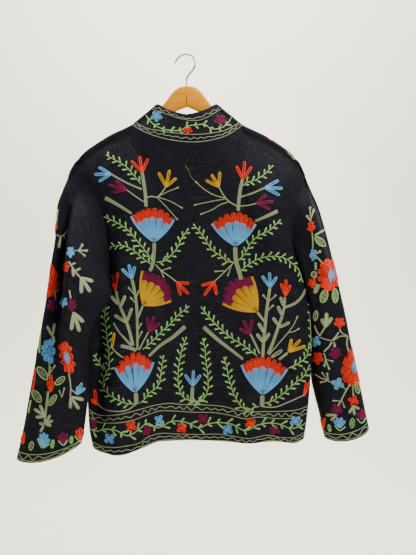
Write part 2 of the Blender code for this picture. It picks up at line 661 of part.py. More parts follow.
def main():
    for item in list(bpy.data.objects):
        bpy.data.objects.remove(item, do_unlink=True)
    jacket = new_collection("suzani_jacket")
    cutters = new_collection("cutters")
    black = plain_material("black_cotton", (0.012, 0.013, 0.017), 0.85, 0.0)
    wood = plain_material("honey_wood", (0.55, 0.27, 0.08), 0.4, 0.0)
    steel = plain_material("steel_wire", (0.5, 0.5, 0.5), 0.3, 1.0)

    left_front = front_surface(-1.0, LEFT_FRONT_ARMHOLE, LEFT_SIDE, LEFT_FRONT_HEM)
    right_front = front_surface(1.0, RIGHT_FRONT_ARMHOLE, RIGHT_SIDE, RIGHT_FRONT_HEM)
    left_sleeve = sleeve_surface(
        LEFT_SLEEVE, LEFT_SLEEVE_FOLDS, LEFT_BACK_ARMHOLE, LEFT_FRONT_ARMHOLE,
        back_surface, left_front, 0.0)
    right_sleeve = sleeve_surface(
        RIGHT_SLEEVE, RIGHT_SLEEVE_FOLDS, RIGHT_BACK_ARMHOLE, RIGHT_FRONT_ARMHOLE,
        back_surface, right_front, 1.0)

    build_back(black, jacket)
    build_front("left_front", left_front, (-110, -60, -480), black, jacket)
    build_front("right_front", right_front, (130, -60, -480), black, jacket)
    build_band("left_front_band", -1.0, black, jacket)
    build_band("right_front_band", 1.0, black, jacket)
    build_collar(black, jacket)
    build_sleeve("left_sleeve", left_sleeve, (-225, -45, -520), black, jacket)
    build_sleeve("right_sleeve", right_sleeve, (290, -10, -540), black, jacket)
    build_hanger(wood, steel, jacket, cutters)


main()
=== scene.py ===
"""An embroidered suzani jacket on a wooden hanger, dressed for rendering.

The tables give the jacket's shape in millimetres in the part's own frame: the origin is the inner
top of the hook's crook, +Z is up, the jacket's back faces -Y and the wearer's left is at -X.
Embroidery is laid out in picture units, about 2 mm on the cloth, as the main camera sees it.
"""

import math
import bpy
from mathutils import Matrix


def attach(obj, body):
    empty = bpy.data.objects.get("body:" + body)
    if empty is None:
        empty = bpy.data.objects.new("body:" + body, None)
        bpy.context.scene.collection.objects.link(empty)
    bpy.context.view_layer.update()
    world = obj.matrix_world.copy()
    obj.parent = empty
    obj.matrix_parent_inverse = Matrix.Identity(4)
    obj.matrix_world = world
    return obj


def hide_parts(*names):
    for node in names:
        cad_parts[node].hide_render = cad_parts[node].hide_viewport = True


bl_info = {
    "name": "Suzani Jacket on a Hanger",
    "version": (1, 0, 0),
    "blender": (4, 5, 0),
    "location": "View3D > Sidebar > Suzani",
    "description": "Makes the cloth, chain stitch, hanger and stage of a suzani jacket",
    "category": "Add Mesh",
}

import bmesh
import bpy
import numpy as np
from bpy.props import FloatProperty, FloatVectorProperty, PointerProperty
from mathutils import Vector
from mathutils.bvhtree import BVHTree
from mathutils.kdtree import KDTree

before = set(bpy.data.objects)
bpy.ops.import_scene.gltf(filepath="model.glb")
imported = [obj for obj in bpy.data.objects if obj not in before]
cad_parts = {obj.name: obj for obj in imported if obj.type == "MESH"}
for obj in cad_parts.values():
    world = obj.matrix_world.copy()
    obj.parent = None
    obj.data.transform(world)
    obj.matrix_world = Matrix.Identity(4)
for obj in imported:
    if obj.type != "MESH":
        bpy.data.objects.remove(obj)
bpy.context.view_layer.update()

MM = 0.001
BODY = "root"

# The main camera, in millimetres, and the size of a picture unit on the hanger's plane
PICTURE_MIDDLE = (208, 277.5)
PICTURE_HEIGHT = 555
UNIT_ON_PLANE = 2.05
CAMERA = (43, -1300, -456)
SENSOR_HEIGHT = 24

# A picture unit on the cloth, and the steps in which rows are laid and worked
UNIT = 2
LAY_STEP = 0.5

# Cloth and seams
CLOTH_WALL = 1.4
NECK_POINT_X = 115
SHOULDER_TIP_X = 226
MERGE_DISTANCE = 0.01

# Wooden hanger
WOOD_THICKNESS = 12
WOOD_TIP_X = 213
WOOD_TIP_ROUNDING = 12
WOOD_ROUNDNESS = 2.5
WOOD_TIP_CROWDING = 0.8
ARM_SWEEP = 0.052
OVER_ARM_RADIUS = 10
BELOW_WOOD = 6

# Wire hook
WIRE_RADIUS = 1.7

# Rows and columns of the body panels: the first rows turn over the hanger's arm
RIDGE_ROWS_MM = (0, 0.35, 1.5, 3.8, 7.5, 14)
PANEL_LENGTH = 600
ARMHOLE_ROWS = 9
SIDE_ROWS = 9
ARMHOLE_SHARE = 0.42
SHOULDER_COLUMNS = (0, 0.0006, 0.004, 0.015, 0.045, 0.1, 0.17)
NECK_COLUMNS = 20
NECK_CROWDING = 2.5

# Body panels: the share of the length in which depth settles, how closely depth changes keep
# to the side edges, how far a side turns round, and where folds fade out before an edge
BACK_SETTLE = 0.34
FRONT_SETTLE = 0.3
BACK_EDGE_POWER = 7
FRONT_EDGE_POWER = 5
BACK_TURN = (0.12, 0.12)
FRONT_TURN = (0.3, 0)
ROUND_FROM = 0.2
BACK_FOLD_FADE = 0.05
FRONT_FOLD_FADE = (0.1, 0.15)

# Sleeves: how closely rows keep to the armhole, and how a sleeve leaves it
SLEEVE_CROWDING = 1.5
SLEEVE_JOIN = 0.11
SLEEVE_GAP = 0.45
SLEEVE_EVEN_BY = 0.2
SLOPE_STEP = 0.02
BACK_STEP_IN = 0.02
FRONT_STEP_IN = 0.05


def numbers(text):
    """Rows of numbers, written with a semicolon after each row."""
    return np.array([row.split() for row in text.split(";")], dtype=float)


def points_of(text):
    """The points in a text, each written x,y."""
    return [tuple(float(part) for part in word.split(",")) for word in text.split() if "," in word]


def lines_of(text):
    """Lines of points, with a semicolon between them."""
    return [points_of(line) for line in text.split(";")]


class Table:
    """Rows of named columns, read smoothly by their first column."""

    def __init__(self, names, rows):
        self.names = names.split()
        values = numbers(rows) if isinstance(rows, str) else rows
        self.keys = values[:, 0]
        self.values = values[:, 1:]
        step = np.diff(self.keys)[:, None]
        slope = np.diff(self.values, axis=0) / step
        self.slopes = np.empty_like(self.values)
        self.slopes[0] = slope[0]
        self.slopes[-1] = slope[-1]
        agree = slope[:-1] * slope[1:] > 0
        total = np.where(agree, slope[:-1] + slope[1:], 1)
        self.slopes[1:-1] = np.where(agree, 2 * slope[:-1] * slope[1:] / total, 0)

    def __call__(self, where):
        where = np.clip(np.asarray(where, dtype=float), self.keys[0], self.keys[-1])
        row = np.clip(np.searchsorted(self.keys, where) - 1, 0, len(self.keys) - 2)
        span = (self.keys[row + 1] - self.keys[row])[..., None]
        t = (where - self.keys[row])[..., None] / span
        low, high = self.values[row], self.values[row + 1]
        a, b = self.slopes[row] * span, self.slopes[row + 1] * span
        rise = t * t * (3 - 2 * t)
        return low + (high - low) * rise + a * t * (1 - t) ** 2 - b * t * t * (1 - t)

    def column(self, name, where):
        return self(where)[..., self.names.index(name) - 1]


# Top of the wood and its underside, by distance from the middle
WOOD_TOP = Table("x z", """
    0 -63.6; 12 -65; 25 -72; 38 -87; 50 -102.5; 70 -117.5; 115 -144.7; 157 -164.2; 190 -184.2;
    213 -201.5; 230 -219""")
WOOD_BOTTOM = Table("x z", """
    0 -106.5; 20 -114.5; 50 -129; 115 -165; 160 -186; 213 -213""")

# Crest of the cloth over the arms, by distance from the middle
CREST = Table("x z", """
    0 -60.9; 25 -69.3; 38 -84.3; 50 -99; 61.5 -100; 75 -110.6; 95 -126.3; 115 -142; 157 -161.5;
    190 -181.5; 213 -198; 226 -213""")

# Seam of the collar and the back, and the collar's free edge
NECK_SEAM = Table("x y z", """
    0 -40 -188; 30 -39.5 -185.5; 53 -37 -180; 83 -27 -166; 101 -11 -154; 109 -4 -148;
    115 5.98 -142""")
COLLAR_EDGE = Table("x y z", """
    0 -26 -128; 24 -23 -122; 44 -13.5 -112; 55 -5 -103.5; 61.5 3.2 -100""")

# Armholes from the shoulder tip to the underarm, on the back and on the front
LEFT_BACK_ARMHOLE = Table("t x y z", """
    0 -226 11.75 -213; 0.12 -227 0 -240; 0.25 -207 -14 -264; 0.38 -187 -24 -287;
    0.5 -169 -31 -325; 0.7 -157 -32 -375; 0.85 -152 -28 -425; 1 -152 -15 -472""")
LEFT_FRONT_ARMHOLE = Table("t x y z", """
    0 -226 11.75 -213; 0.15 -221 24 -255; 0.3 -206 31 -285; 0.5 -189 34 -330; 0.7 -177 32 -380;
    0.85 -163 18 -425; 1 -152 -15 -472""")
RIGHT_BACK_ARMHOLE = Table("t x y z", """
    0 226 11.75 -213; 0.12 230 -1 -243; 0.2 224 -14 -264; 0.35 213 -29 -302; 0.5 210 -36 -346;
    0.7 214 -36 -398; 0.85 226 -29 -440; 1 242 -8 -471""")
RIGHT_FRONT_ARMHOLE = Table("t x y z", """
    0 226 11.75 -213; 0.12 230 21 -245; 0.2 226 27 -264; 0.35 216 33 -302; 0.5 212 34 -346;
    0.7 215 32 -398; 0.85 227 20 -440; 1 242 -8 -471""")

# Side seams from the underarm to the hem
LEFT_SIDE = Table("t x y z", """
    0 -152 -15 -472; 0.1 -168 -9 -505; 0.28 -197 -3 -562; 0.4 -203 0 -602; 0.7 -202 -3 -700;
    0.9 -198 -5 -763; 1 -191 -8 -796""")
RIGHT_SIDE = Table("t x y z", """
    0 242 -8 -471; 0.1 248 -4 -502; 0.35 254 0 -583; 0.6 252 0 -656; 0.77 248 -2 -707;
    0.9 243 -4 -750; 1 238 -6 -779""")

# Hems, by share of the width
BACK_HEM = Table("u x y z", """
    0 -191 -8 -796; 0.04 -175 -26 -800; 0.09 -154 -38 -801; 0.17 -119 -44 -798;
    0.25 -85 -44 -791; 0.33 -52 -42 -782; 0.5 18 -42 -781; 0.7 104 -44 -782; 0.85 172 -44 -781;
    0.95 215 -32 -783; 1 238 -6 -779""")
LEFT_FRONT_HEM = Table("u x y z", """
    0 -191 -8 -796; 0.15 -172 18 -797; 0.4 -140 31 -794; 1 -66 34 -786""")
RIGHT_FRONT_HEM = Table("u x y z", """
    0 238 -6 -779; 0.12 218 18 -782; 0.3 187 31 -784; 1 66 34 -786""")

# Long front band: its seam with the front and its free inner edge
BAND_SEAM = Table("t x y z", """
    0 115 5.98 -142; 0.05 112 19 -163; 0.15 105 27 -213; 0.3 92 31 -293; 0.45 77 33 -373;
    0.55 70 34 -425; 1 66 34 -786""")
BAND_EDGE = Table("t x y z", """
    0 61.5 3.2 -100; 0.05 57 17 -130; 0.15 47 25 -184; 0.3 30 30 -268; 0.45 14 33 -352;
    0.55 7 34 -412; 1 6 34 -786""")

# Soft folds of the body: the line's x at both ends, the heights where it starts, is full, begins
# to fade and ends, its depth to the outside and its width
BACK_FOLDS = numbers("""
    -176 -172 -455 -560 -720 -800 -24 19; -132 -122 -540 -790 -900 -950 34 36;
    -132 -140 -330 -470 -620 -760 9 26; 0 10 -450 -640 -900 -950 -9 58;
    118 128 -560 -740 -900 -950 13 26; 204 214 -500 -640 -900 -950 8 18;
    -96 -120 -250 -300 -400 -470 7 24; 150 176 -250 -320 -430 -520 7 26""")
FRONT_FOLDS = numbers("""
    -150 -138 -520 -700 -900 -950 14 26; -100 -98 -440 -600 -900 -950 -8 20;
    184 178 -520 -680 -900 -950 12 28; 120 122 -450 -640 -900 -950 -7 24""")

# Sleeves: outer and inner line, depth of the tube's middle, how far the inner line leans
# towards the back of it, half the tube's depth, roundness, and how far the cuff's edge sags
LEFT_SLEEVE = Table("v tx tz bx bz middle lean half power sag", """
    0 -226 -213 -152 -472 -2 10 34 2.2 0; 0.05 -236 -243 -159 -482 -24 17 36 2.2 0;
    0.12 -248 -280 -160 -494 -38 14 38 2.3 0; 0.2 -256 -318 -161 -507 -48 9 40 2.3 0;
    0.3 -256 -372 -171 -523 -57 5 41 2.3 0; 0.4 -262 -425 -181 -547 -62 3 40 2.3 0;
    0.5 -269 -483 -190 -577 -64 2 38 2.3 0; 0.6 -279 -545 -194.5 -612 -65 0 37 2.3 0;
    0.7 -290 -608 -194 -650 -65 0 36 2.3 0; 0.8 -303 -677 -195 -697 -63 0 35 2.3 2;
    0.9 -317 -751 -199 -748 -61 0 34 2.2 6; 1 -330 -808 -205 -780 -60 0 33 2.2 12""")
RIGHT_SLEEVE = Table("v tx tz bx bz middle lean half power sag", """
    0 226 -213 242 -471 -2 4 34 2.2 0; 0.05 237 -241 251 -482 -9 12 37 2.2 0;
    0.12 250 -270 256 -498 -11 12 40 2.3 0; 0.2 266 -311 257.5 -519 -11 3 42 2.3 0;
    0.3 280 -362 258 -545 -8 -7 43 2.3 0; 0.4 294 -419 257.5 -575 -5 -12 41 2.3 0;
    0.5 307 -475 256.5 -607 -4 -14 40 2.3 0; 0.6 320 -532 255.5 -635 -4 -14 40 2.3 0;
    0.7 332 -592 256 -664 -5 -12 39 2.3 0; 0.8 345 -650 261 -694 -8 -8 38 2.3 2;
    0.9 357 -706 270 -734 -12 -3 37 2.2 6; 1 368 -760 279 -779 -15 0 36 2.2 8""")

# Folds of the sleeves: angle from the outer line at both ends, where they start, are full,
# begin to fade and end along the sleeve, depth to the outside and width in degrees
LEFT_SLEEVE_FOLDS = numbers("""
    50 72 0 0.1 0.66 0.86 -27 20; 88 110 0.05 0.2 0.4 0.65 9 22;
    285 280 0.05 0.25 0.6 0.9 -12 24""")
RIGHT_SLEEVE_FOLDS = numbers("""
    34 40 0 0.06 0.26 0.42 -9 17; 80 92 0 0.1 0.3 0.55 12 26; 75 80 0.5 0.7 0.85 1 -8 18;
    285 280 0.05 0.25 0.6 0.9 -10 24""")

# Wire hook: its middle line from the wood to the free end
HOOK_ROUTE = numbers("""
    -1 -76; -1 -49; 2.6 -42; 11.6 -31; 16.6 -18.5; 13.4 -6.6; 6 0.2; -3.4 1.7; -12.4 -1.4;
    -20.2 -8.6; -25.4 -17""")


def smooth(t):
    t = np.clip(t, 0, 1)
    return t * t * (3 - 2 * t)


def xyz(x, y, z):
    return np.stack(np.broadcast_arrays(x, y, z), axis=-1)


def power_of(value, power):
    """A power that keeps the sign."""
    return np.sign(value) * np.abs(value) ** power


def unit_length(vectors, least=1e-9):
    return vectors / np.maximum(np.linalg.norm(vectors, axis=-1, keepdims=True), least)


def arm_middle(x):
    return ARM_SWEEP * np.abs(x)


def over_hanger(points, side):
    """Keep a cloth surface outside the rounded crest, side is -1 for the back."""
    x, y, z = points[..., 0], points[..., 1], points[..., 2]
    reach = np.abs(x)
    middle = arm_middle(x)
    drop = np.clip(CREST.column("z", reach) - z, 0, OVER_ARM_RADIUS)
    round_top = np.sqrt(drop * (2 * OVER_ARM_RADIUS - drop))
    near = (reach < SHOULDER_TIP_X + 1) & (z > WOOD_BOTTOM.column("z", reach) - BELOW_WOOD)
    away = side * (y - middle)
    away = np.where(near, np.maximum(away, round_top), away)
    return xyz(x, middle + side * away, z)


def shoulder_line(reach, sign):
    return xyz(sign * reach, arm_middle(reach), CREST.column("z", reach))


def neck_line(x, table):
    points = table(np.abs(x))
    return xyz(x, points[..., 0], points[..., 1])


def side_edge(v, armhole, side):
    """The panel's outer edge: the armhole, then the side seam."""
    on_arm = armhole(v / ARMHOLE_SHARE)
    on_side = side((v - ARMHOLE_SHARE) / (1 - ARMHOLE_SHARE))
    return np.where((v <= ARMHOLE_SHARE)[..., None], on_arm, on_side)


def quick(share, width):
    """A share that starts quickly, so that depth leads where a panel turns round its side."""
    return np.where(share < width / 2, np.sqrt(2 * width * share), share + width / 2)


def depth_share(u, left, right):
    total = 1 - (left + right) / 2
    from_left = quick(u * total, left)
    from_right = 1 - quick((1 - u) * total, right)
    return np.where(u < 0.5, from_left, from_right)


def patch(u, v, top, bottom, left, right, hang, edge_power, turn):
    """A panel between its four edges, whose depth settles just below the top edge."""
    u, v = u[..., None], v[..., None]
    beside = smooth((v - ROUND_FROM) / (ARMHOLE_SHARE - ROUND_FROM))
    d = u + (depth_share(u, *turn) - u) * beside
    near_top, near_hem = top(u[..., 0]), bottom(u[..., 0])
    at_left, at_right = left(v[..., 0]), right(v[..., 0])
    zero, one = np.zeros(1), np.ones(1)
    corners = ((1 - u) * (1 - v) * top(zero) + u * (1 - v) * top(one)
               + (1 - u) * v * bottom(zero) + u * v * bottom(one))
    flat = (1 - v) * near_top + v * near_hem + (1 - u) * at_left + u * at_right - corners
    settle = 1 - (1 - np.clip(v / hang, 0, 1)) ** 2
    hem_depth = bottom(d[..., 0])[..., 1:2]
    depth = near_top[..., 1:2] * (1 - settle) + hem_depth * settle
    left_depth = top(zero)[..., 1:2] * (1 - settle) + bottom(zero)[..., 1:2] * settle
    right_depth = top(one)[..., 1:2] * (1 - settle) + bottom(one)[..., 1:2] * settle
    depth = depth + (at_left[..., 1:2] - left_depth) * (1 - d) ** edge_power
    depth = depth + (at_right[..., 1:2] - right_depth) * d ** edge_power
    return xyz(flat[..., 0], depth[..., 0], flat[..., 2])


def add_folds(points, folds, outward, edge_fade):
    x, y, z = points[..., 0], points[..., 1], points[..., 2]
    for x_top, x_low, z_top, z_full, z_low, z_end, out, wide in folds:
        share = np.clip((z_top - z) / (z_top - z_low), 0, 1)
        line = x_top + (x_low - x_top) * share
        strength = smooth((z_top - z) / (z_top - z_full)) * smooth((z - z_end) / (z_low - z_end))
        across = np.exp(-((x - line) / wide) ** 2)
        y = y + outward * out * strength * across * edge_fade
    return xyz(x, y, z)


def panel_rows():
    ridge = np.array(RIDGE_ROWS_MM) / PANEL_LENGTH
    arm = np.linspace(ridge[-1], ARMHOLE_SHARE, ARMHOLE_ROWS + 1)[1:]
    side = np.linspace(ARMHOLE_SHARE, 1, SIDE_ROWS + 1)[1:]
    return np.concatenate([ridge, arm, side])


def neck_columns():
    """Shares of the neck seam, closer together where it turns over the arms."""
    half = NECK_COLUMNS // 2
    share = 0.5 * (np.arange(half + 1) / half) ** NECK_CROWDING
    return np.concatenate([share, (1 - share)[-2::-1]])


def at_stops(share, stops):
    return np.interp(share * (len(stops) - 1), np.arange(len(stops)), stops)


def back_columns():
    """Shares across the back: a shoulder, the neck and the other shoulder."""
    shoulder = np.array(SHOULDER_COLUMNS)
    neck = np.linspace(SHOULDER_END, 1 - SHOULDER_END, NECK_COLUMNS + 1)
    return np.concatenate([shoulder[:-1], neck, (1 - shoulder)[-2::-1]])


SHOULDER_END = SHOULDER_COLUMNS[-1]
ROWS = panel_rows()
NECK = neck_columns()
COLUMNS = back_columns()
ARMHOLE_STOPS = np.append(ROWS[ROWS < ARMHOLE_SHARE], ARMHOLE_SHARE) / ARMHOLE_SHARE


def back_top(u):
    """The back's top edge: left shoulder, neck seam, right shoulder."""
    reach_left = SHOULDER_TIP_X - (SHOULDER_TIP_X - NECK_POINT_X) * u / SHOULDER_END
    reach_right = SHOULDER_TIP_X - (SHOULDER_TIP_X - NECK_POINT_X) * (1 - u) / SHOULDER_END
    left = shoulder_line(reach_left, -1)
    right = shoulder_line(reach_right, 1)
    share = np.clip((u - SHOULDER_END) / (1 - 2 * SHOULDER_END), 0, 1)
    neck = neck_line(NECK_POINT_X * (2 * at_stops(share, NECK) - 1), NECK_SEAM)
    points = np.where((u < SHOULDER_END)[..., None], left, neck)
    return np.where((u > 1 - SHOULDER_END)[..., None], right, points)


def back_surface(u, v):
    points = patch(
        u, v, back_top, BACK_HEM,
        lambda t: side_edge(t, LEFT_BACK_ARMHOLE, LEFT_SIDE),
        lambda t: side_edge(t, RIGHT_BACK_ARMHOLE, RIGHT_SIDE),
        BACK_SETTLE, BACK_EDGE_POWER, BACK_TURN)
    fade = smooth(np.minimum(u, 1 - u) / BACK_FOLD_FADE)
    return over_hanger(add_folds(points, BACK_FOLDS, -1, fade), -1)


def front_surface(sign, armhole, side, hem):
    def surface(u, v):
        points = patch(
            u, v,
            lambda t: shoulder_line(SHOULDER_TIP_X - (SHOULDER_TIP_X - NECK_POINT_X) * t, sign),
            hem, lambda t: side_edge(t, armhole, side), lambda t: band_line(BAND_SEAM, t, sign),
            FRONT_SETTLE, FRONT_EDGE_POWER, FRONT_TURN)
        fade = smooth(u / FRONT_FOLD_FADE[0]) * smooth((1 - u) / FRONT_FOLD_FADE[1])
        return over_hanger(add_folds(points, FRONT_FOLDS, 1, fade), 1)
    return surface


def band_line(table, t, sign):
    points = table(t)
    return xyz(sign * points[..., 0], points[..., 1], points[..., 2])


def band_surface(sign):
    def surface(u, v):
        seam = over_hanger(band_line(BAND_SEAM, v, sign), 1)
        edge = over_hanger(band_line(BAND_EDGE, v, sign), 1)
        return over_hanger(seam + (edge - seam) * u[..., None], 1)
    return surface


def collar_surface(u, v):
    """v runs from the neck seam up to the free edge."""
    share = 2 * u - 1
    low = neck_line(NECK_POINT_X * share, NECK_SEAM)
    high = neck_line(COLLAR_EDGE.keys[-1] * share, COLLAR_EDGE)
    return over_hanger(low + (high - low) * v[..., None], -1)


def tube(row, angle):
    """A point of the sleeve's round form, angle 0 is on its outer line."""
    tx, tz, bx, bz, middle, lean, half, power, sag = np.moveaxis(row, -1, 0)
    c, s = power_of(np.cos(angle), 2 / power), power_of(np.sin(angle), 2 / power)
    x = (tx + bx) / 2 + (tx - bx) / 2 * c
    z = (tz + bz) / 2 + (tz - bz) / 2 * c - sag * (1 - c ** 2)
    return xyz(x, middle + lean * c - half * s, z)


def sleeve_folds(angle, v, folds):
    degrees = np.degrees(angle)
    total = np.zeros_like(v)
    for a_top, a_low, start, full, fade, end, out, wide in folds:
        line = a_top + (a_low - a_top) * v
        strength = smooth((v - start) / (full - start)) * smooth((end - v) / (end - fade))
        total = total + out * strength * np.exp(-((degrees - line) / wide) ** 2)
    return total


def armhole_ring(share, back, front):
    """share runs once round the armhole: down the back, then up the front."""
    down = share <= 0.5
    t = at_stops(np.where(down, 2 * share, 2 - 2 * share), ARMHOLE_STOPS)
    return np.where(down[..., None], back(t), front(t)), t


def sleeve_surface(table, folds, back, front, panel_back, panel_front, seam_u):
    """A tube that leaves the armhole in line with the panels and turns into its round form."""
    def surface(u, v):
        on_back = u <= 0.5
        seam, t = armhole_ring(u, back, front)
        seam_angle = np.where(on_back, math.pi * t, math.tau - math.pi * t)
        even_angle = math.tau * u
        angle = seam_angle + (even_angle - seam_angle) * smooth(v / SLEEVE_EVEN_BY)
        start = tube(table(np.zeros_like(v)), angle)
        ahead = tube(table(np.full_like(v, SLOPE_STEP)), angle)
        slope = (ahead - start) / SLOPE_STEP

        panel_v = t * ARMHOLE_SHARE
        near_back = panel_back(np.full_like(u, abs(seam_u - BACK_STEP_IN)), panel_v)
        near_front = panel_front(np.full_like(u, FRONT_STEP_IN), panel_v)
        leave = unit_length(seam - np.where(on_back[..., None], near_back, near_front), 1e-6)
        reach = np.linalg.norm(slope, axis=-1, keepdims=True)

        low = (1 - np.cos(seam_angle)) / 2
        turn = np.where(on_back, 1 - low, 1 - low ** 3)[..., None]
        join = np.clip(v / SLEEVE_JOIN, 0, 1)[..., None]
        shift = (seam + leave * SLEEVE_GAP - start) * (1 - smooth(join))
        lead = turn * (leave * reach - slope) * v[..., None] * (1 - join) ** 2
        out = -np.sign(np.sin(angle)) * sleeve_folds(angle, v, folds)
        return tube(table(v), angle) + shift + lead + xyz(0, out, 0)
    return surface


def wood_surface(u, v):
    """u runs from tip to tip, v once round the section."""
    x = WOOD_TIP_X * (2 * u - 1)
    reach = np.abs(x)
    tip = np.clip((reach - (WOOD_TIP_X - WOOD_TIP_ROUNDING)) / WOOD_TIP_ROUNDING, 0, 1)
    shrink = np.sqrt(np.maximum(1 - tip ** 2, 0))
    top, bottom = WOOD_TOP.column("z", reach), WOOD_BOTTOM.column("z", reach)
    angle = math.tau * v
    power = 2 / WOOD_ROUNDNESS
    c, s = power_of(np.cos(angle), power), power_of(np.sin(angle), power)
    y = arm_middle(x) + WOOD_THICKNESS / 2 * shrink * s
    z = (top + bottom) / 2 + (top - bottom) / 2 * shrink * c
    return xyz(x, y, z)


# Finer cloth than the plain solids have: small creases as lines from one end to the other, with
# their depth to the outside and their width
BACK_CREASES = numbers("""
    -142 -430 -136 -610 -4.5 9; -126 -420 -118 -600 3 9; -205 -232 -150 -330 2.6 9;
    -186 -222 -120 -262 -2 8; -212 -250 -172 -345 -2.6 7; 206 -236 168 -332 2.4 9;
    184 -224 128 -268 -1.8 8; 222 -262 190 -352 -2.2 7; -92 -196 -70 -300 1.6 16;
    84 -190 66 -286 1.4 15; -60 -200 58 -204 -1.4 7; -36 -216 40 -219 1.2 6;
    -150 -420 -112 -540 2.4 10; -128 -400 -104 -500 -2.2 8; -158 -520 -96 -560 -2 9;
    -150 -600 -92 -650 1.8 10; -140 -655 -100 -720 -2 9; -108 -560 -88 -700 2.4 9;
    196 -430 150 -540 2.2 11; 222 -470 182 -560 -2.2 9; 236 -540 190 -610 1.8 9;
    232 -640 196 -720 -1.8 9; 30 -430 52 -620 1.8 16; -40 -470 -52 -640 -1.6 14;
    90 -520 108 -700 -1.8 13; 140 -600 150 -760 1.8 11; -20 -690 -28 -790 1.8 12;
    60 -700 66 -790 -1.8 12; -70 -720 -66 -800 2 10; 180 -700 176 -790 -1.8 10""")
FRONT_CREASES = numbers("""
    -206 -240 -150 -320 2.4 9; -190 -226 -130 -270 -1.8 8; 206 -240 150 -320 2.4 9;
    190 -226 130 -270 -1.8 8; -150 -420 -110 -520 2 9; 220 -450 170 -540 2.2 9;
    -120 -560 -112 -720 -2 9; 150 -560 142 -740 -2 10; 100 -500 96 -690 1.6 9;
    -86 -480 -84 -700 1.6 8""")
LEFT_SLEEVE_CREASES = numbers("""
    -238 -262 -247 -620 -20 8; -221 -262 -229 -610 12 9; -232 -300 -182 -372 2.6 8;
    -244 -340 -190 -420 -2.4 8; -250 -392 -204 -468 2.2 9; -262 -470 -206 -520 -2.2 8;
    -268 -520 -214 -590 2.4 9; -284 -585 -222 -640 -2 8; -292 -640 -214 -668 2.2 8;
    -300 -700 -236 -720 -1.8 8; -250 -560 -258 -760 2 11; -226 -640 -232 -790 -1.8 9""")
RIGHT_SLEEVE_CREASES = numbers("""
    244 -296 268 -380 2.6 8; 262 -330 286 -420 -2.4 8; 266 -420 300 -470 2.2 8;
    274 -476 312 -540 -2.4 8; 270 -560 326 -590 2.2 8; 282 -590 338 -640 -2 8;
    276 -660 340 -670 2 8; 300 -560 322 -740 2 11; 288 -690 350 -706 -1.8 8""")
CREASE_END = 0.3

# Where a sleeve is drawn to the body: the height, how far up and down, and how much
SLEEVE_CLOSING = {
    "left": [(-482, 40, 12), (-650, 70, 4.5)],
    "right": [(-482, 30, -9), (-548, 55, -7)]}
PANEL_SEAM_FADE = 0.03
SLEEVE_SEAM_FADE = 0.06

# Columns and rows of the fine cloth, the wood and the wire
BACK_GRID = (130, 160)
FRONT_GRID = (44, 160)
BAND_GRID = (16, 170)
COLLAR_GRID = (88, 22)
SLEEVE_GRID = (96, 140)
WOOD_GRID = (220, 48)
HOOK_STEPS = 160
WIRE_SIDES = 20
WIRE_END_STEPS = 6

# Cut sizes in metres and flat areas in square metres
BACK_CUT = (0.56, 0.66)
FRONT_CUT = (0.19, 0.66)
BAND_CUT = (0.061, 0.70)
COLLAR_CUT = (0.28, 0.07)
SLEEVE_CUT = (0.50, 0.60)

# Studio: how wide the paper is, how it bends, and its lights with place, aim, size and power
STAGE_HALF = 6
STAGE_STEPS = 64
STAGE_FRONT = 6
STAGE_BEND = 1.4
STAGE_TOP = 5.5
AMBIENT = 0.34
LIGHTS = [
    ("key_light", (1.1, -1.55, 0.95), (0.05, 0, -0.35), (0.9, 0.9), 52, (1, 0.97, 0.93)),
    ("fill_light", (-2.3, -2, 0.5), (0, 0, -0.5), (2, 2.2), 4, (0.95, 0.97, 1)),
    ("far_key_light", (1.6, 2.2, 1.2), (0, 0, -0.5), (1.6, 1.6), 50, (1, 0.98, 0.95)),
    ("far_fill_light", (-2, 2, 0.2), (0, 0, -0.5), (2, 2), 22, (0.96, 0.98, 1)),
    ("paper_light", (0, 0.6, 2.6), (0, 3.2, -0.4), (3, 1.5), 320, (1, 0.98, 0.92))]


def share_fade(u, width):
    return smooth(np.minimum(u, 1 - u) / width)


def add_creases(points, creases, outward, fade):
    x, y, z = points[..., 0], points[..., 1], points[..., 2]
    for x_start, z_start, x_end, z_end, depth, wide in creases:
        run_x, run_z = x_end - x_start, z_end - z_start
        length = math.hypot(run_x, run_z)
        along = ((x - x_start) * run_x + (z - z_start) * run_z) / length ** 2
        across = ((x - x_start) * run_z - (z - z_start) * run_x) / length
        ends = smooth(along / CREASE_END) * smooth((1 - along) / CREASE_END)
        y = y + outward * depth * ends * np.exp(-(across / wide) ** 2) * fade
    return xyz(x, y, z)


def fine_back(u, v):
    u, v = at_stops(u, COLUMNS), at_stops(v, ROWS)
    points = back_surface(u, v)
    fade = share_fade(u, PANEL_SEAM_FADE) * smooth(v / PANEL_SEAM_FADE)
    return over_hanger(add_creases(points, BACK_CREASES, -1, fade), -1)


def fine_front(surface):
    def place(u, v):
        v = at_stops(v, ROWS)
        fade = share_fade(u, 2 * PANEL_SEAM_FADE) * smooth(v / PANEL_SEAM_FADE)
        return over_hanger(add_creases(surface(u, v), FRONT_CREASES, 1, fade), 1)
    return place


def fine_sleeve(surface, creases, closing):
    """Sleeve cloth with creases, drawn to the body where the two touch."""
    def place(u, v):
        u, v = u % 1, v ** SLEEVE_CROWDING
        outward = np.where(u < 0.5, -1, 1) * smooth(np.abs(np.sin(math.tau * u)))
        fade = smooth(v / SLEEVE_SEAM_FADE)
        points = add_creases(surface(u, v), creases, outward, fade)
        near_body = smooth(0.5 - 0.5 * np.cos(math.tau * u)) ** 2
        shift = sum(move * np.exp(-((points[..., 2] - middle) / reach) ** 2)
                    for middle, reach, move in closing)
        return points + xyz(shift * near_body * fade, 0, 0)
    return place


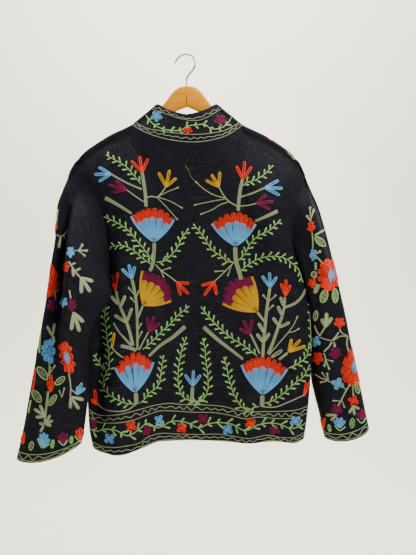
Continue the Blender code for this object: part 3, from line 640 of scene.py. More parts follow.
# Embroidery of the back in picture units, as the camera sees it. A row holds what is worked, its
# points, its sizes and its thread, and goes on in lines that start with a space
UPPER_LEFT = """
stem 142,171.5 143.6,181.7 145.1,192 146.1,207.2 3.5
tulip 142,172.5 130.8,160.3 139.5,155.7 148.2,158.3 orange
sprig 141,184 133.9,175.6 125.7,166.4 115.5,160.3 108.4,156.2
tulip 110.9,174.1 98.2,167 94,174.6 98.7,181.7 blue
stem 110.9,174.1 120.6,179.7 130.8,184.8 142,189.4 1.9
tulip 126.7,189.9 115.5,180.7 108.4,184.8 112.4,192.4 plum
stem 126.7,189.9 134.9,196 144,202 1.2
tulip 166,186.8 158.4,172 169.6,169.5 176.7,177.7 mustard
stem 166,186.8 161.4,193 157.3,197 151.2,196.5 146.1,197.6 1.6
twig 157.3,197 168,191.6 178.8,187.3
twig 157.3,197 169.6,201 182.9,208.3
twig 156.5,197 167.6,208.3 177.8,220
taper 104.8,197.6 117.6,204.7 132,213.8 4 2.4
fan 153.8,241.9 130.8,216.4 174.2,219.5 151.2,207.8 blue orange
stem 154.3,242.4 153.8,254.9 152.2,265.7 149.7,271.5 3.6
sprig 153,261.5 143.9,249 136.4,240 128.8,230.7 118.6,223.6 105.3,217.4
sprig 151.8,264.8 141.4,257.4 134,250.7 123.2,245.8 110.7,246.6
sprig 156.3,262.3 164.6,260.7 169.6,256.5 177,248.2 181.2,239.1 186.9,230.7
stem 155.5,264.8 161.3,270.6 169.6,276.4 177,282.2 1.3
twig 161.3,270.4 170.8,267.7
twig 160.5,270 163.8,277.7
tulip 177,282.2 189.5,283.5 188.7,294.3 180.8,295.9 orange
twig 70.5,160 73.9,165.5 1 grass
twig 70.5,167 73.9,171 1 grass
"""
UPPER_RIGHT = """
stem 242.8,178.7 240.7,186.8 239.2,197 238.2,211.3 3.6
tulip 242.8,179.7 236.1,165.4 244.8,160.8 251.9,166.4 orange
tulip 218.8,186.8 205.5,180.2 211.1,174.1 219.8,171.5 mustard
stem 218.8,186.8 223.4,195 227.4,200.1 238.7,207.2 1.6
twig 225.4,198 215.2,195.5 205,189.9 195,181.2
stem 194.6,180.8 190.6,176 188.4,170 185,165.2 0.4
twig 225.4,199 215.2,200.6 205,202.7 193.6,205.2
twig 229.5,201.6 220.3,204.7 213,209.3 200.2,214.4
sprig 241.5,187 244.8,183.8 256,179.7 265.2,173.6 271.3,167.4
tulip 264.7,187.9 279,180.2 283.1,188.4 280,195.5 blue
stem 264.7,187.9 253,193 240.7,197 1.8
tulip 257,203.2 266.2,194.5 273.9,201.6 270.3,209.3 plum
stem 257,203.2 249,205.2 239.7,206.2 1.4
taper 254.5,221.4 266.2,216.4 278,210.8 2.4 3.9
fan 235.6,246 211.6,223.6 256,224.1 237,212 blue orange
stem 235.2,246.6 235.7,259 239,271.5 241.5,279.8 4.2
sprig 234,262.3 227.4,261.5 220.7,255.7 214.1,251.6 209.1,245.8 205,239.1 195,226
sprig 237.5,261 244.8,254 250,244 260,234.8 270.3,229.7 278.5,221.5
sprig 239.5,272 248.1,264.8 258,259 268,256.5 277.9,256.5 286.2,259 292.9,264 298.7,269.8 302,279.8
stem 234,262.3 227.4,269 220.7,275.6 214.1,281.8 1.3
twig 224.9,270.8 214.5,271.5
twig 231.5,265.5 227.4,276.4
tulip 214.1,281.8 201.2,285.6 203.7,295.9 216.6,295.5 orange
leaflet 267.5,137.8 272,140.8 orange
leaflet 276.5,142.2 281,145.4 orange
leaflet 286.5,151.2 290.6,155.4 grass
leaflet 290.6,155.2 294.6,159.4 grass
"""
MIDDLE_LEFT = """
fan 143.1,305 142.2,270.6 171.3,300.9 165,279.5 mustard plum 5 7
stem 143.1,305 139.8,312.9 137.7,317.9 2.2
tulip 131.9,278.9 121.5,268.6 128.6,264 134.8,266 blue
taper 131.9,279 133.9,288 136,300.5 136.9,312.9 137.3,329.5 137.3,350.2 3.2 2.2
twig 134.4,294.7 128.1,287 1.15
twig 136,298 139,290.5 1.15
twig 135.2,303 130.2,297 1.15
twig 138.1,329.5 141.6,323 1.15
twig 138.1,339.5 142.2,331 1.15
tulip 115.3,290.6 110.5,273.5 117.6,272.3 orange
taper 116.1,290.5 118.2,300.5 120.7,307.9 125.7,319.6 129,329.5 133.1,346.1 2.6 3.3
finger 117.8,304 110.6,295.6
finger 120.8,306.5 125.4,295.3
finger 126,322.5 114.3,314.8
finger 127.4,320.8 132,307.8
taper 113.5,322.7 119,332 125.7,339.5 131.5,346.1 1.3 2.6
stem 120.3,345.7 131.5,348.6 136.4,350.6 3.4
finger 111.8,348.4 114.4,332.4 3.5 mustard
stem 112,347.7 117.4,353.5 123.2,357.7 1.5
tulip 148.9,331.8 147.2,317.5 154.3,316 160,323 plum
stem 148.4,332 143.9,340.3 138.9,350.2 1.6
sprig 142.5,349.5 149.7,343.6 156.3,337 163,330.3 171.3,322.9 177.9,315.4 187,308
taper 148.6,356.4 160.5,345.3 172.9,337 185.4,326.2 2.6 4.2
"""
LOWER_LEFT = """
fan 134.7,392.3 115.3,368.3 153.6,362 136.4,352 blue orange
stem 135.8,392.3 136.4,404.6 4.4
sprig 134.7,404.1 125.4,403.3 116.2,399 107.7,393.2 103.5,387.3 103.5,380.5 105.2,375.5 109.4,367
 109,357 109,349.4 107.4,340.3 106.6,329.5 104.9,317.1 105.8,307.1
sprig 104,371 100,364 95,357
sprig 139.7,403.3 143.9,399.9 149,393.2 154.9,388.9 159.1,383.9 160.8,373.8 162.1,365.4 163.3,357.8
stem 136.4,404.1 127.1,410 114.5,411.3 103.5,408.7 96.8,403.3 1.2
tulip 96.6,404.5 91.2,399 94.5,389.5 orange
"""
MIDDLE_RIGHT = """
fan 257.2,311.7 222.4,303.8 251.8,276.4 229.5,281.5 mustard plum 5 7
stem 257.2,312.1 264.7,322 2.6
tulip 270,287.4 261.8,275.6 269.5,271.9 276.9,276.4 blue
stem 269.8,287.4 268,300.5 266.3,312.9 265.1,325.4 263.8,337.8 262.6,357.7 3.2
twig 268,300.9 262.6,294.6 1.25
twig 268.8,301.4 276.4,294.8 1.25
twig 267.4,311 273.6,304.8 1.25
finger 263.4,332 258.3,322.8
finger 264.6,341 269.6,332.8
finger 262.8,342 256.6,333.6
tulip 285.4,295.9 280.9,283 286,278.9 290.6,284.6 orange
taper 285,296.3 284.2,306.3 281.7,317.1 277.9,327.9 274.6,337.8 268,354.4 2.4 3.4
finger 283.4,305.6 280.2,296.6
finger 281.4,314.7 277.6,305.8
stem 284,307.6 295.4,303 302,296.3 305.7,288.7 2.8
finger 279.4,326.4 272.6,317.4
finger 279.4,327.4 290,322.2
stem 268.8,355.2 277.9,344.4 287.9,332.8 1.2
twig 287.9,332.8 293.4,325 297.8,315.8
twig 287.9,332.8 294,331.4 299.5,328.3
finger 271.3,357.3 282.4,350 4.4
tulip 288.7,351.9 291.6,338.6 300.7,339.5 305.8,345.7 mustard
stem 287.9,352.7 278.8,359.8 2.6
tulip 249.8,334 239,328.3 243.1,320 251.8,319.1 plum
stem 250.2,333.7 253.9,341.1 259.7,353.7 2
sprig 257.2,356 249.8,350.2 240.6,343.6 232.3,338.6 224,332 215.8,324.5 209.1,317.1 202.5,308.8
taper 203.3,326.6 216.6,338.6 231.5,350.2 243.4,359.4 4.2 2.6
"""
LOWER_RIGHT = """
fan 262.3,394.4 241.3,364.9 287.6,368.7 262.3,356.3 blue orange 5 9
stem 262.3,394.8 261.9,407 4.6
sprig 288.4,368.3 297.7,363.7 306.1,356.9 308.6,346
sprig 264,403.2 270.8,401.5 279.2,396.5 287.6,389.8 296,382.2 303.6,376.3 308.6,367
sprig 259.5,406.4 253.9,407.4 249.7,410 242.1,407.4 237.9,401.5 233.7,394 230.8,384.7 228.2,376.3
 227,367.9 224.5,359.5
stem 261.9,406.6 275,407 287.6,402.4 304.4,394.8 1.4
tulip 303.8,396 306.6,382 311.5,379 orange
sprig 311,352 310.6,334 309.4,304 grass 3.2 4
"""
CENTRE = """
sprig 205,401.6 186,399 182.7,396.5 178.9,387.3 178,377.2 178.5,367.9 180.2,357.8 181.8,349.4
 185.6,339.3
sprig 193,402.4 203.4,399 208,388.9 208,380.5 207.2,369.6 205.5,357.8 205.1,349.4 203.4,340.9
tulip 192.8,386 184.8,374.2 193.4,370 200.8,374.6 blue
stem 192.6,386.4 191.5,404.1 3.6
"""

# Border along the back's hem: lines with a wave between them, a vine with blossoms, and again
HEM_TOP = points_of("""
    86,407 90.9,410.8 95.9,414.2 104.4,415.5 118.7,414.6 131.3,411.7 143.9,408.3 156.6,404.9
    169.2,403.3 181.8,404.5 205,404.9 226.1,407 237.1,410 247.2,411.6 266.5,411.6 283.4,411.2
    296,410 304.4,407.4 310,405""")
HEM_UNDER = points_of("""
    86,415 90.9,418.4 97.6,421.8 110.3,423.1 125.4,421.8 135.5,419.3 148.2,414.6 160.8,410.8
    169.2,410.8 190.3,412.1 216,412.9 232.9,415.9 245.5,418.8 258.1,417.1 275,418.4 296,417.5
    304.4,414.2 310,412""")
HEM_LOW = points_of("""
    86,438 94.3,442.8 101.8,446.2 113.6,447.5 127.1,445.8 139.7,442.8 148.2,437 159.1,433.6
    177.6,434 205,434.4 216,434 232.9,436.1 249.7,438.6 266.5,435.2 283.4,437.7 296,436.9
    303.6,432.7 309,430""")
HEM_EDGE = points_of("""
    88,444 101.8,451.3 112.8,455.1 125.4,454.6 137.2,452.1 143.9,446.2 156.6,441.2 169.2,439.5
    205,440.3 228.7,441.1 248.9,444.5 270.8,440.3 290.1,442.4 302.7,439.4 308,437""")
HEM_VINE = points_of("""
    88,428 92.6,430.2 97.6,431.1 103.5,429.4 116.2,430.6 127.9,435.7 138.9,429.4 147.3,423.5
    157.4,427.7 171.7,421.4 189.4,423.5 197.8,427.7 210.2,423.4 221.9,422.6 232,424.3 245.5,430.6
    257.3,425.1 269.1,423 282.5,425.1 288.4,428 303.6,424.3 308,421""")
HEM_BLOSSOMS = [
    (93.8, 424.7, 6, 10, "plum"), (109.8, 438.6, 10.5, 10, "blue"),
    (131.1, 426, 10.5, 10, "orange"), (146.9, 430.8, 8, 10, "plum"),
    (159.1, 420.1, 9, 10, "blue"), (181.8, 427.9, 10.5, 9.5, "orange"),
    (203, 418.6, 10.5, 9.5, "plum"), (227.6, 429.6, 10.5, 9.5, "blue"),
    (250.6, 423, 10.5, 9.5, "orange"), (274.5, 429.8, 10.5, 9.5, "plum"),
    (295.2, 420.9, 10.5, 9.5, "blue")]

# Collar: its lines and vine as the camera sees them from behind
COLLAR_LINES = lines_of("""
    136,122.5 145,127.7 159.4,130.7 173.7,132.8 188,134.3 210,133.3 226,130 240,122;
    131.8,124.6 143,131.2 156.3,136.3 171.6,139.9 187,141.8 202,141.5 210,140.2 226,135.6
    243.6,124.4;
    152,109 167.5,114.4 180,118.5 200,120 212,114.5 221,109""")
COLLAR_WAVES = lines_of("""
    134,123.5 144,129.5 158,133.5 172,136.3 187.5,138.2 206,137.4 226,133 242,123;
    154,107 168.6,112.4 180,117 192,118.6 206,114.5 219,108""")
COLLAR_VINE = points_of("""
    145.6,115 151,122 159.4,127.7 169.6,130.2 181.8,129.7 188,126 196,125 205,124.6 211,128.7
    220.3,128.2 227.4,123.6 231.5,117.4""")
COLLAR_BLOSSOMS = [
    (156.8, 116.4, 11, 11, "blue"), (187.8, 130.5, 10, 7, "orange"),
    (220.3, 120.5, 11.5, 11.5, "plum")]


# Left sleeve as the camera sees it
LEFT_SLEEVE_WORK = """
stem 57.8,209 57,216 56.4,223 1.2 grass
blossom 54.6,226 6 8 orange
stem 56.2,235 60.7,236.4 64,234.6 67.8,230.8 1.2
leaf_fan 60.6,236.6 58.6,248.4 3.2
twig 63.6,234.8 64.2,238.4
blossom 70.6,252.2 7.5 11 blue 5 90
twig 74,250.6 78,250.4 83,244
twig 78,250.4 88,250.9
twig 78,250.6 85.4,256.3
blossom 66,267 6 10 orange 5 70
flower 42.4,280 34 30 10 orange orange
stem 68.6,261.4 71.4,266 77,274 82,279.4 1.3
leaf_fan 71,265 75.4,262.8 2.9
leaf_fan 74.6,271.4 80.6,268.2 3.1
leaf_fan 72.4,268.4 73.6,276.8 2.9
leaf_fan 81,277.4 81.4,293.4 90.4,292.2 93.2,281.6
stem 55,288.8 55.2,294 55.8,300.6 1.4
twig 55.2,293.6 58.8,288.4
blossom 52.9,305 11 12 plum 5 90
blossom 63.6,302 8 10 blue 5 100
stem 69.2,290 70.7,298.6 1.3
blossom 72.1,305 7.6 12 plum 5 90
leaf_fan 73.4,312 71.3,330.2 79.7,331.9 83.6,322.4 4.6
leaf_fan 52.5,337 46.8,325.6 54.6,323 3.4
stem 40.6,333 39.6,343 39.4,353 1.8 grass
stem 53.4,336 54.4,342.6 2.4
rosette 51.8,351 22 26 6 blue blue 80 205
stem 49.6,361.4 49.4,368 49.2,376 1.5
stem 48.4,391 47.4,398 46.2,408 44.4,424 2.3
rosette 67,357.5 12.5 33 9 orange blue 20 360 0.2 -13
oval 42.6,373.4 8.4 17 -37
oval 60,380.8 6.6 13 50
oval 36.7,396.3 8 15.5 -34
oval 52.5,400.2 6 14 36
stem 35.4,368 34.4,380 32.6,392 2 orange
stem 31,400 28.6,413 1.6 grass
twig 50,374 50.6,366.4
twig 50.4,373 55.2,365
tulip 50.6,391.6 47.6,381 51,374.6 54,381 orange
leaf_fan 45.4,416.7 39.8,404.6 34,408.6 35.6,417.2 4
leaf_fan 45.3,424.4 50.3,414.6 53,420.2 51.6,425.6 3.6
leaf_fan 44,425 39,422.8 40.2,432.4 3.6
stem 68.7,373.2 70.6,386 70.3,397 1.5
tulip 76.7,394.4 78,386 82,382.6 85,388 blue
stem 76.7,394 70.4,389 1.2
leaf_fan 70.6,396.6 70.4,408.6 79.2,409.4 83.8,399.8 4.4
twig 62,397.6 59,390
twig 62,397 64.4,387.6
tulip 23.4,443.6 20.4,435 24,432.4 orange 3.4
oval 31.3,445.8 5.2 10 12 grass grass
tulip 43.7,446.4 37.6,438 40.2,433.6 44,432.2 47.6,433.8 50,438.6 blue 3.6
stem 37.6,439.6 42.6,447.8 49.6,443.8 1.3 grass
oval 52.5,444 4 9.6 10 grass grass
tulip 62.8,443.4 58.4,435.4 62.6,431.8 67,433.8 plum 4.4
stem 58,440.6 63.4,445.2 67.8,439.8 1.3 grass
oval 71.3,439.7 3.8 8.4 8 grass grass
tulip 80,438.8 76.2,430.2 80.4,427.6 84,430 orange 4.4
stem 74.4,435.6 80,441 84.6,436.4 1.3 grass
"""

# Right sleeve as the camera sees it
RIGHT_SLEEVE_WORK = """
twig 310.7,222 306.4,215.4
twig 310.7,222 310,206.6
twig 310.7,220 313.8,209.6
blossom 311.4,227 7.4 11 orange 5 80
stem 312,232.4 312.8,240 312.8,249 1.1
stem 314.3,236 319.6,232.6 325.4,229.6 1.4
oval 320.2,241.6 7 14 -48
blossom 313.4,255 7 12 blue 5 100
twig 316,253.6 321,251
stem 316.8,256.8 323,263.6 1.2
stem 315.6,262 315.8,270 2
rosette 328.2,275.3 21.5 32.5 12 orange blue 0 360 0.24 0 3.6
oval 314,274.6 6.4 7 0 olive olive
blossom 312.4,283 8.6 9 orange 5 90
oval 316.6,288.8 4.4 11 25 olive grass
oval 324,296.2 8 14.6 17
oval 335.2,295.8 6.6 15
oval 315.7,315.7 5 11 8 olive grass
stem 314.4,325 316.6,331 320,336.1 1.2
leaf_fan 325.5,327 321.6,318.5 326.6,312.6 332,317.2
stem 325.5,326.4 319.5,336.1 1.2
blossom 339.6,322.7 10.5 10.5 orange 5 90
stem 339.4,328.7 341.3,332.4 346.8,336.1 346.8,344.4 348.7,351.8 1.4
stem 346.8,336.1 339.4,336.5 332.9,340.2 325.5,339.3 319.5,337 1.4
twig 338.9,331.9 333.4,339.8
blossom 315.8,341.4 9 10 blue 4 25
stem 332,341.6 329.2,346.3 323.7,351.8 1.2
twig 333.9,341.6 334.8,347.2
blossom 335.6,353.2 12 11 plum 5 90
blossom 317.7,358.1 11 12 orange 5 90
twig 323.7,352.7 325.5,359.2 324.1,367
twig 325.5,359.2 329.4,369.8
twig 325.5,359.2 333.5,361.5
flower 354.3,366.5 36 32 11 orange blue
stem 315,374.2 321,378 328,380.8 333.4,383.6 1.4
twig 328,380.8 321.6,372
twig 328.4,380.8 327,372.6
twig 327.6,381 319.8,382.4
blossom 337.8,383.8 11.4 11 blue 4 20
stem 350.5,383.3 345,392.5 340.3,401.8 337.6,406 1.6
twig 346.4,390 341.4,385.6
twig 340.3,401 332.4,400.6
twig 341.8,400 344.6,408
twig 352.4,384.2 353.3,395.6
oval 357.3,387.6 6 13 -8
blossom 353.4,400.8 10 10 orange 4 20
blossom 336.8,409 11 12 plum 5 90
leaf_fan 353.4,405.6 349,413.6 354.4,415.4 359.6,409.2 3.6
leaf_fan 337,415 325.6,415 330.6,420.6 3.6
tulip 323,428.2 320.6,418.6 324.8,417.6 orange 3.8
oval 329.5,428 3.8 8.6 -14 grass grass
tulip 339.6,427.6 333.8,420.4 337,417.4 341.6,417.2 345.2,420.4 blue 3.8
stem 334.6,425.4 339.6,430.4 345.6,426.6 1.3 grass
oval 352.2,423.2 5.4 11 6 grass grass
tulip 361.4,419.4 357.4,412.6 361.6,409 364.6,412 plum 4
stem 356.6,418.4 361.6,423 366,418 1.3 grass
"""

# Each side: which way it lies, its seams and hem, its sleeve and work, and a point inside it
FRONTS = [
    ("left", -1, LEFT_FRONT_ARMHOLE, LEFT_SIDE, LEFT_FRONT_HEM, (-110, -60, -480)),
    ("right", 1, RIGHT_FRONT_ARMHOLE, RIGHT_SIDE, RIGHT_FRONT_HEM, (130, -60, -480))]
SLEEVES = [
    (LEFT_SLEEVE, LEFT_SLEEVE_FOLDS, LEFT_BACK_ARMHOLE, 0, LEFT_SLEEVE_CREASES,
     LEFT_SLEEVE_WORK, (-225, -45, -520)),
    (RIGHT_SLEEVE, RIGHT_SLEEVE_FOLDS, RIGHT_BACK_ARMHOLE, 1, RIGHT_SLEEVE_CREASES,
     RIGHT_SLEEVE_WORK, (290, -10, -540))]

# Rows and columns in which a sleeve is measured, the least slant at which its cloth is seen, and
# past its outline: slack in units and how much wider its rows may get
ROUND_GRID = (161, 289)
SEEN_SLANT = 0.12
EDGE_SLACK = 0.3
WIDEST_AT_EDGE = 1.8

# Share round a sleeve where its back's middle lies, and motifs round the rest of each sleeve:
# the share round it and units down it
SLEEVE_MIDDLE = 0.25
SLEEVE_REST = [
    (0.43, 40, "orange"), (0.57, 62, "plum"), (0.44, 92, "blue"), (0.56, 112, "orange"),
    (0.44, 140, "orange"), (0.56, 164, "blue"), (0.46, 190, "plum"), (0.54, 212, "orange")]
CUFF_TULIPS = ("plum", "orange", "blue", "orange")
CUFF_ROW = 12
CLUSTER_ABOVE_CUFF = 130
CUFF_BAND = 7.5
CUFF_WAVE = 13

# Front: a plant up each side, in units across from the middle and down from the hook
FRONT_PLANT = """
stem 74,100 73,114 71,128 71,146 3.4
tulip 74,100.5 66,88 75,84 84,89 orange
sprig 72,112 80,104 90,101 101,106
tulip 90,120 99,110 105,117 101,127 blue
stem 90,120 82,124 71,129 1.8
twig 71,134 63,126 56,118
twig 71,136 62,132 55,129
stem 80,150 88,143 96,138 3.8
fan 70,178 52,155 90,156 71,144 blue orange
stem 70,178 70,192 67,212 3.8
sprig 70,197 61,190 54,180 49,168
sprig 70,195 78,190 83,181 86,170
sprig 69,205 58,204 49,197 43,186
fan 60,248 43,228 79,231 59,212 mustard plum 5 7
stem 60,248 61,262 63,276 64,306 2.4
tulip 80,262 75,250 83,247 90,254 blue
stem 80,262 77,278 72,294 68,310 3.4
finger 77,279 84,270
finger 75,289 69,279
tulip 45,276 38,266 45,262 52,268 orange
stem 45,276 49,288 56,300 62,310 2.6
sprig 72,308 82,297 89,285 95,270
stem 76,313 87,304 98,295 4.2
sprig 57,308 49,299 42,291 37,283
fan 65,344 45,321 86,321 65,307 blue orange
stem 65,344 65,355 4.4
sprig 67,353 79,349 88,340 93,327
sprig 63,353 52,349 43,340 38,328
"""
FRONT_EDGE = [(28, 392.5), (50, 394.5), (70, 397), (86, 398.5), (96, 398), (106, 396)]
FRONT_LINES = (38, 31, 8.5, 2.6)
FRONT_VINE = 18.5
FRONT_BLOSSOMS = [(40, "plum"), (54, "blue"), (69, "orange"), (83, "plum")]
BAND_LINES = (0.07, 0.23, 0.77, 0.93)
BAND_BLOSSOMS = ("blue", "orange", "plum")
BAND_FIRST = 0.1
BAND_EVERY = 0.037
BAND_LAST = 0.98
BAND_ASIDE = 0.11

# Chain stitch in millimetres: a link's length, a row's width and height, how much it narrows and
# dips between links and at its ends, the shortest row and the longest jump inside one
STITCH = 3
ROW_WIDE = 2.5
ROW_HIGH = 0.95
ROW_WAIST = 0.74
ROW_DIP = 0.82
END_WAIST = 0.45
END_HIGH = 0.12
ROW_SUNK = 0.25
ROW_ACROSS = (-1, -0.42, 0.42, 1)
ROW_RISE = (-1, 0.9, 0.9, -1)
RINGS_A_STITCH = 2
SHORTEST_ROW = 2
LONGEST_JUMP = 9

# How far apart rows lie in picture units, the share of a row's width that lines beside waves
# have, and points along such a line and along the middle between two of them
ROW_GAP = 1.2
LINE_WIDE = 0.72
LINE_POINTS = 60
WAVE_POINTS = 80

# How leaves along a sprig vary, how thick a finger's rows are and how far a palmette's wings bow
LEAF_LENGTHS = 2.4
LEAF_ANGLES = 1.7
FINGER_THICK = 1.35
FAN_FLARE = 0.3

# Filled motifs: painted shade and reach of the rows underneath, and the spacing of the rows on top
# The rows underneath are drawn in a darker tone of their thread: painted shade in the grooves
# between the loops on top
PAINTED_GROUND_SHADE = 0.53
GROUND_REACH = 0.8
NET_SHADE = 0.72
FILLED_PITCH = 1.2

# How much rows differ in tone, in hue and in how far they stand off the cloth
TONE_VARIES = 0.1
HUE_VARIES = 0.04
LIFT_VARIES = 0.18

# How far each next motif of a layout is lifted, up to where it starts again, and blossoms on a vine
MOTIF_LIFT = 0.07
LIFT_RANGE = 0.35
BLOSSOM_LIFT = 0.7

THREADS = ("orange", "blue", "mustard", "plum", "olive", "grass")

# Motifs that take their first points one by one; the others take them all as one line
SINGLE_POINTS = {"tulip": 1, "leaf_fan": 1, "blossom": 1, "rosette": 1, "flower": 1, "oval": 1,
                 "leaflet": 2, "finger": 2, "fan": 4}


def units(points):
    return np.asarray(points, dtype=float).reshape(-1, 2)


def bend(points, step=LAY_STEP):
    """A smooth line through points, at even steps."""
    points = units(points)
    gaps = np.hypot(*np.diff(points, axis=0).T)
    points = points[np.concatenate([[True], gaps > 1e-6])]
    gaps = gaps[gaps > 1e-6]
    at = np.concatenate([[0], np.cumsum(gaps)])
    where = np.linspace(0, at[-1], max(int(at[-1] / step), 2) + 1)
    slope = np.gradient(points, at, axis=0)
    row = np.clip(np.searchsorted(at, where) - 1, 0, len(at) - 2)
    span = (at[row + 1] - at[row])[:, None]
    t = (where - at[row])[:, None] / span
    rise = t * t * (3 - 2 * t)
    low, high = points[row], points[row + 1]
    lead = slope[row] * span * t * (1 - t) ** 2
    tail = slope[row + 1] * span * t * t * (1 - t)
    return low + (high - low) * rise + lead - tail


def heading(line):
    run = np.gradient(line, axis=0)
    return run / np.maximum(np.hypot(*run.T), 1e-9)[:, None]


def beside(line, distance):
    """The line moved sideways, by one distance or by one for each point."""
    run = heading(line)
    return line + np.column_stack([-run[:, 1], run[:, 0]]) * np.reshape(distance, (-1, 1))


def along_line(line):
    return np.concatenate([[0], np.cumsum(np.hypot(*np.diff(line, axis=0).T))])


def turned(vector, degrees):
    angle = math.radians(degrees)
    c, s = math.cos(angle), math.sin(angle)
    return np.array([vector[0] * c - vector[1] * s, vector[0] * s + vector[1] * c])


class Needlework:
    """Rows of chain stitch laid out flat in picture units."""

    def __init__(self, convert=units):
        self.rows = []
        self.convert = convert
        self.lift = 0
        self.shade = 1

    def row(self, line, thread, wide=1):
        """One row of links along a line, in one thread."""
        wide = np.broadcast_to(np.asarray(wide, dtype=float), len(line))
        self.rows.append((line, THREADS.index(thread), wide, self.lift, self.shade))

    def stem(self, points, wide=1, thread="olive"):
        """Rows side by side with round ends, wide in picture units."""
        self.taper(points, wide, wide, thread)

    def taper(self, points, start, end, thread="olive"):
        """Rows side by side that spread from one width to another."""
        line = bend(self.convert(points))
        most = max(start, end)
        count = max(1, round(most / ROW_GAP))
        wide = np.linspace(start, end, len(line)) / count
        for k in range(count):
            off = k - (count - 1) / 2
            short = (count - math.sqrt(count ** 2 - 4 * off ** 2)) / 2 * most / count
            cut = round(short / LAY_STEP)
            row = beside(line, off * wide)
            keep = slice(cut, max(len(line) - cut, cut + 2))
            self.row(row[keep], thread, (wide / ROW_GAP)[keep])

    def twig(self, points, wide=1, thread="olive"):
        """One row that ends in a small knob."""
        line = bend(self.convert(points))
        at = along_line(line)
        left = at[-1] - at
        self.row(line, thread, 0.9 * wide * (1 + 1.1 * np.exp(-(left / 2.4) ** 2)))

    def leaflet(self, root, tip, thread, fat=1.75):
        line = bend([root, tip])
        share = np.linspace(0, 1, len(line))
        self.row(line, thread, 0.7 + (fat - 0.7) * smooth(share * 1.25))

    def sprig(self, points, thread="grass", leaf=6.1, gap=3.35, lean=47, bare=2.4):
        """A stem with leaflets on both sides in turn, from its root to its tip."""
        line = bend(self.convert(points))
        self.row(line, thread, 0.9)
        at, run = along_line(line), heading(line)
        side = 1
        where = bare
        while where < at[-1] - 0.5:
            k = int(np.searchsorted(at, where))
            long = leaf * min(1, 0.7 + 0.4 * (at[-1] - where) / (3 * leaf))
            long *= 1 + 0.1 * math.sin(LEAF_LENGTHS * where)
            angle = side * (lean + 7 * math.sin(LEAF_ANGLES * where))
            self.leaflet(line[k], line[k] + turned(run[k], angle) * long, thread)
            side = -side
            where += gap
        self.leaflet(line[-1] - run[-1], line[-1] + run[-1] * leaf * 0.45, thread)

    def loop(self, base, tip, wide, thread, rows=12, full=0.5, narrow=0.5, thick=1, pitch=1):
        """A petal: loops one inside another, round at the tip and narrower at the base."""
        axis = tip - base
        length = math.hypot(*axis)
        axis = axis / length
        side = np.array([-axis[1], axis[0]])
        gap = ROW_GAP * thick * pitch
        for k in range(rows):
            half = wide / 2 - gap * (k + 0.5)
            near, far = k * gap, length - gap * (k + 0.5)
            if half < 0.28 or far - near < 1.2:
                if half > -0.35 and far - near > 1:
                    self.row(bend([base + axis * near, base + axis * far]), thread, thick)
                break
            turn = np.linspace(0, math.tau, max(12, int(length * 4)) + 1)
            share = (1 - np.cos(turn)) / 2
            swell = power_of(np.sin(turn), full) * (narrow + (1 - narrow) * share)
            points = base + np.outer(near + (far - near) * share, axis)
            self.row(bend(points + np.outer(swell * half, side)), thread, thick)

    def finger(self, base, tip, wide=3.9, thread="olive"):
        """A slim petal with a thin dark line of cloth down its middle."""
        self.loop(base, tip, wide, thread, rows=1, full=0.42, narrow=0.62, thick=FINGER_THICK)

    def tulip(self, base, tips, thread, wide=3.9):
        """Fingers that fan out of one wedge."""
        base, tips = self.convert([base])[0], self.convert(tips)
        for tip in tips:
            self.finger(base, tip, wide, thread)
        middle = base + (tips.mean(axis=0) - base) * 0.45
        self.loop(base, middle, wide * 1.1, thread, full=0.6)

    def ring(self, centre, across, down, thread, turn=0, point=0, thick=1):
        """A closed row, with points at its top and bottom where asked for."""
        angle = np.linspace(0, math.tau, max(12, int(5 * max(across, down))) + 1)
        side = np.cos(angle) * np.abs(np.cos(angle)) ** point
        flat = np.column_stack([side * across, np.sin(angle) * down])
        c, s = math.cos(math.radians(turn)), math.sin(math.radians(turn))
        self.row(bend(flat @ np.array([[c, s], [-s, c]]) + centre), thread, thick)

    def blossom(self, centre, wide, tall, thread, lobes=4, turn=45):
        """Small round lobes set in a ring, each of two rows round a tiny eye."""
        centre = self.convert([centre])[0]
        size = 0.5 if lobes == 4 else 0.43
        for k in range(lobes):
            angle = math.radians(turn + 360 * k / lobes)
            middle = centre + np.array([wide * math.cos(angle), tall * math.sin(angle)]) * 0.34
            reach = np.array([wide, tall]) * 0.5 * size - ROW_GAP * 0.66
            self.ring(middle, max(reach[0], 0.7), max(reach[1], 0.7), thread, thick=1.1)
            if min(reach) > 1.2:
                inner = np.maximum(reach - ROW_GAP, 0.45)
                self.ring(middle, inner[0], inner[1], thread)
        for reach in (0.6, 0.14 * min(wide, tall)):
            self.ring(centre, reach, reach, thread)

    def oval(self, centre, wide, tall, turn=0, thread="grass", heart="olive"):
        """A pointed leaf of rings one inside another, with a net in its middle."""
        centre = self.convert([centre])[0]
        across, down = (wide - ROW_GAP) / 2, (tall - ROW_GAP) / 2
        self.ring(centre, across, down, thread, turn, 0.4)
        self.shade = NET_SHADE
        while min(across, down) > 1.9:
            across, down = across - ROW_GAP * 1.4, down - ROW_GAP * 2
            self.ring(centre, across, down, heart, turn, 0.4, 0.7)
        way = turned((0, 1), turn) * max(down - 0.8, 0.6)
        self.row(bend([centre - way, centre + way]), heart, 0.7)
        self.shade = 1

    def leaf_fan(self, base, tips, wide=4.2, thread="olive"):
        """Fat leaves out of one root, each filled with rows."""
        base, tips = self.convert([base])[0], self.convert(tips)
        for tip in tips:
            self.loop(base, tip, wide, thread, full=0.6, narrow=0.3)

    def fan(self, base, left, right, apex, inner, outer, lobes=5, scallops=8, share=0.64):
        """A palmette: filled lobes inside, a band of scallops outside and a wing on each side."""
        base, left, right, apex = self.convert([base, left, right, apex])
        reach = [np.subtract(tip, base) for tip in (left, apex, right)]
        angles = np.unwrap([math.atan2(way[1], way[0]) for way in reach])
        sizes = [math.hypot(*way) for way in reach]
        sense = np.sign(angles[2] - angles[0])
        spread = abs(angles[2] - angles[0])
        mean = float(np.mean(sizes))

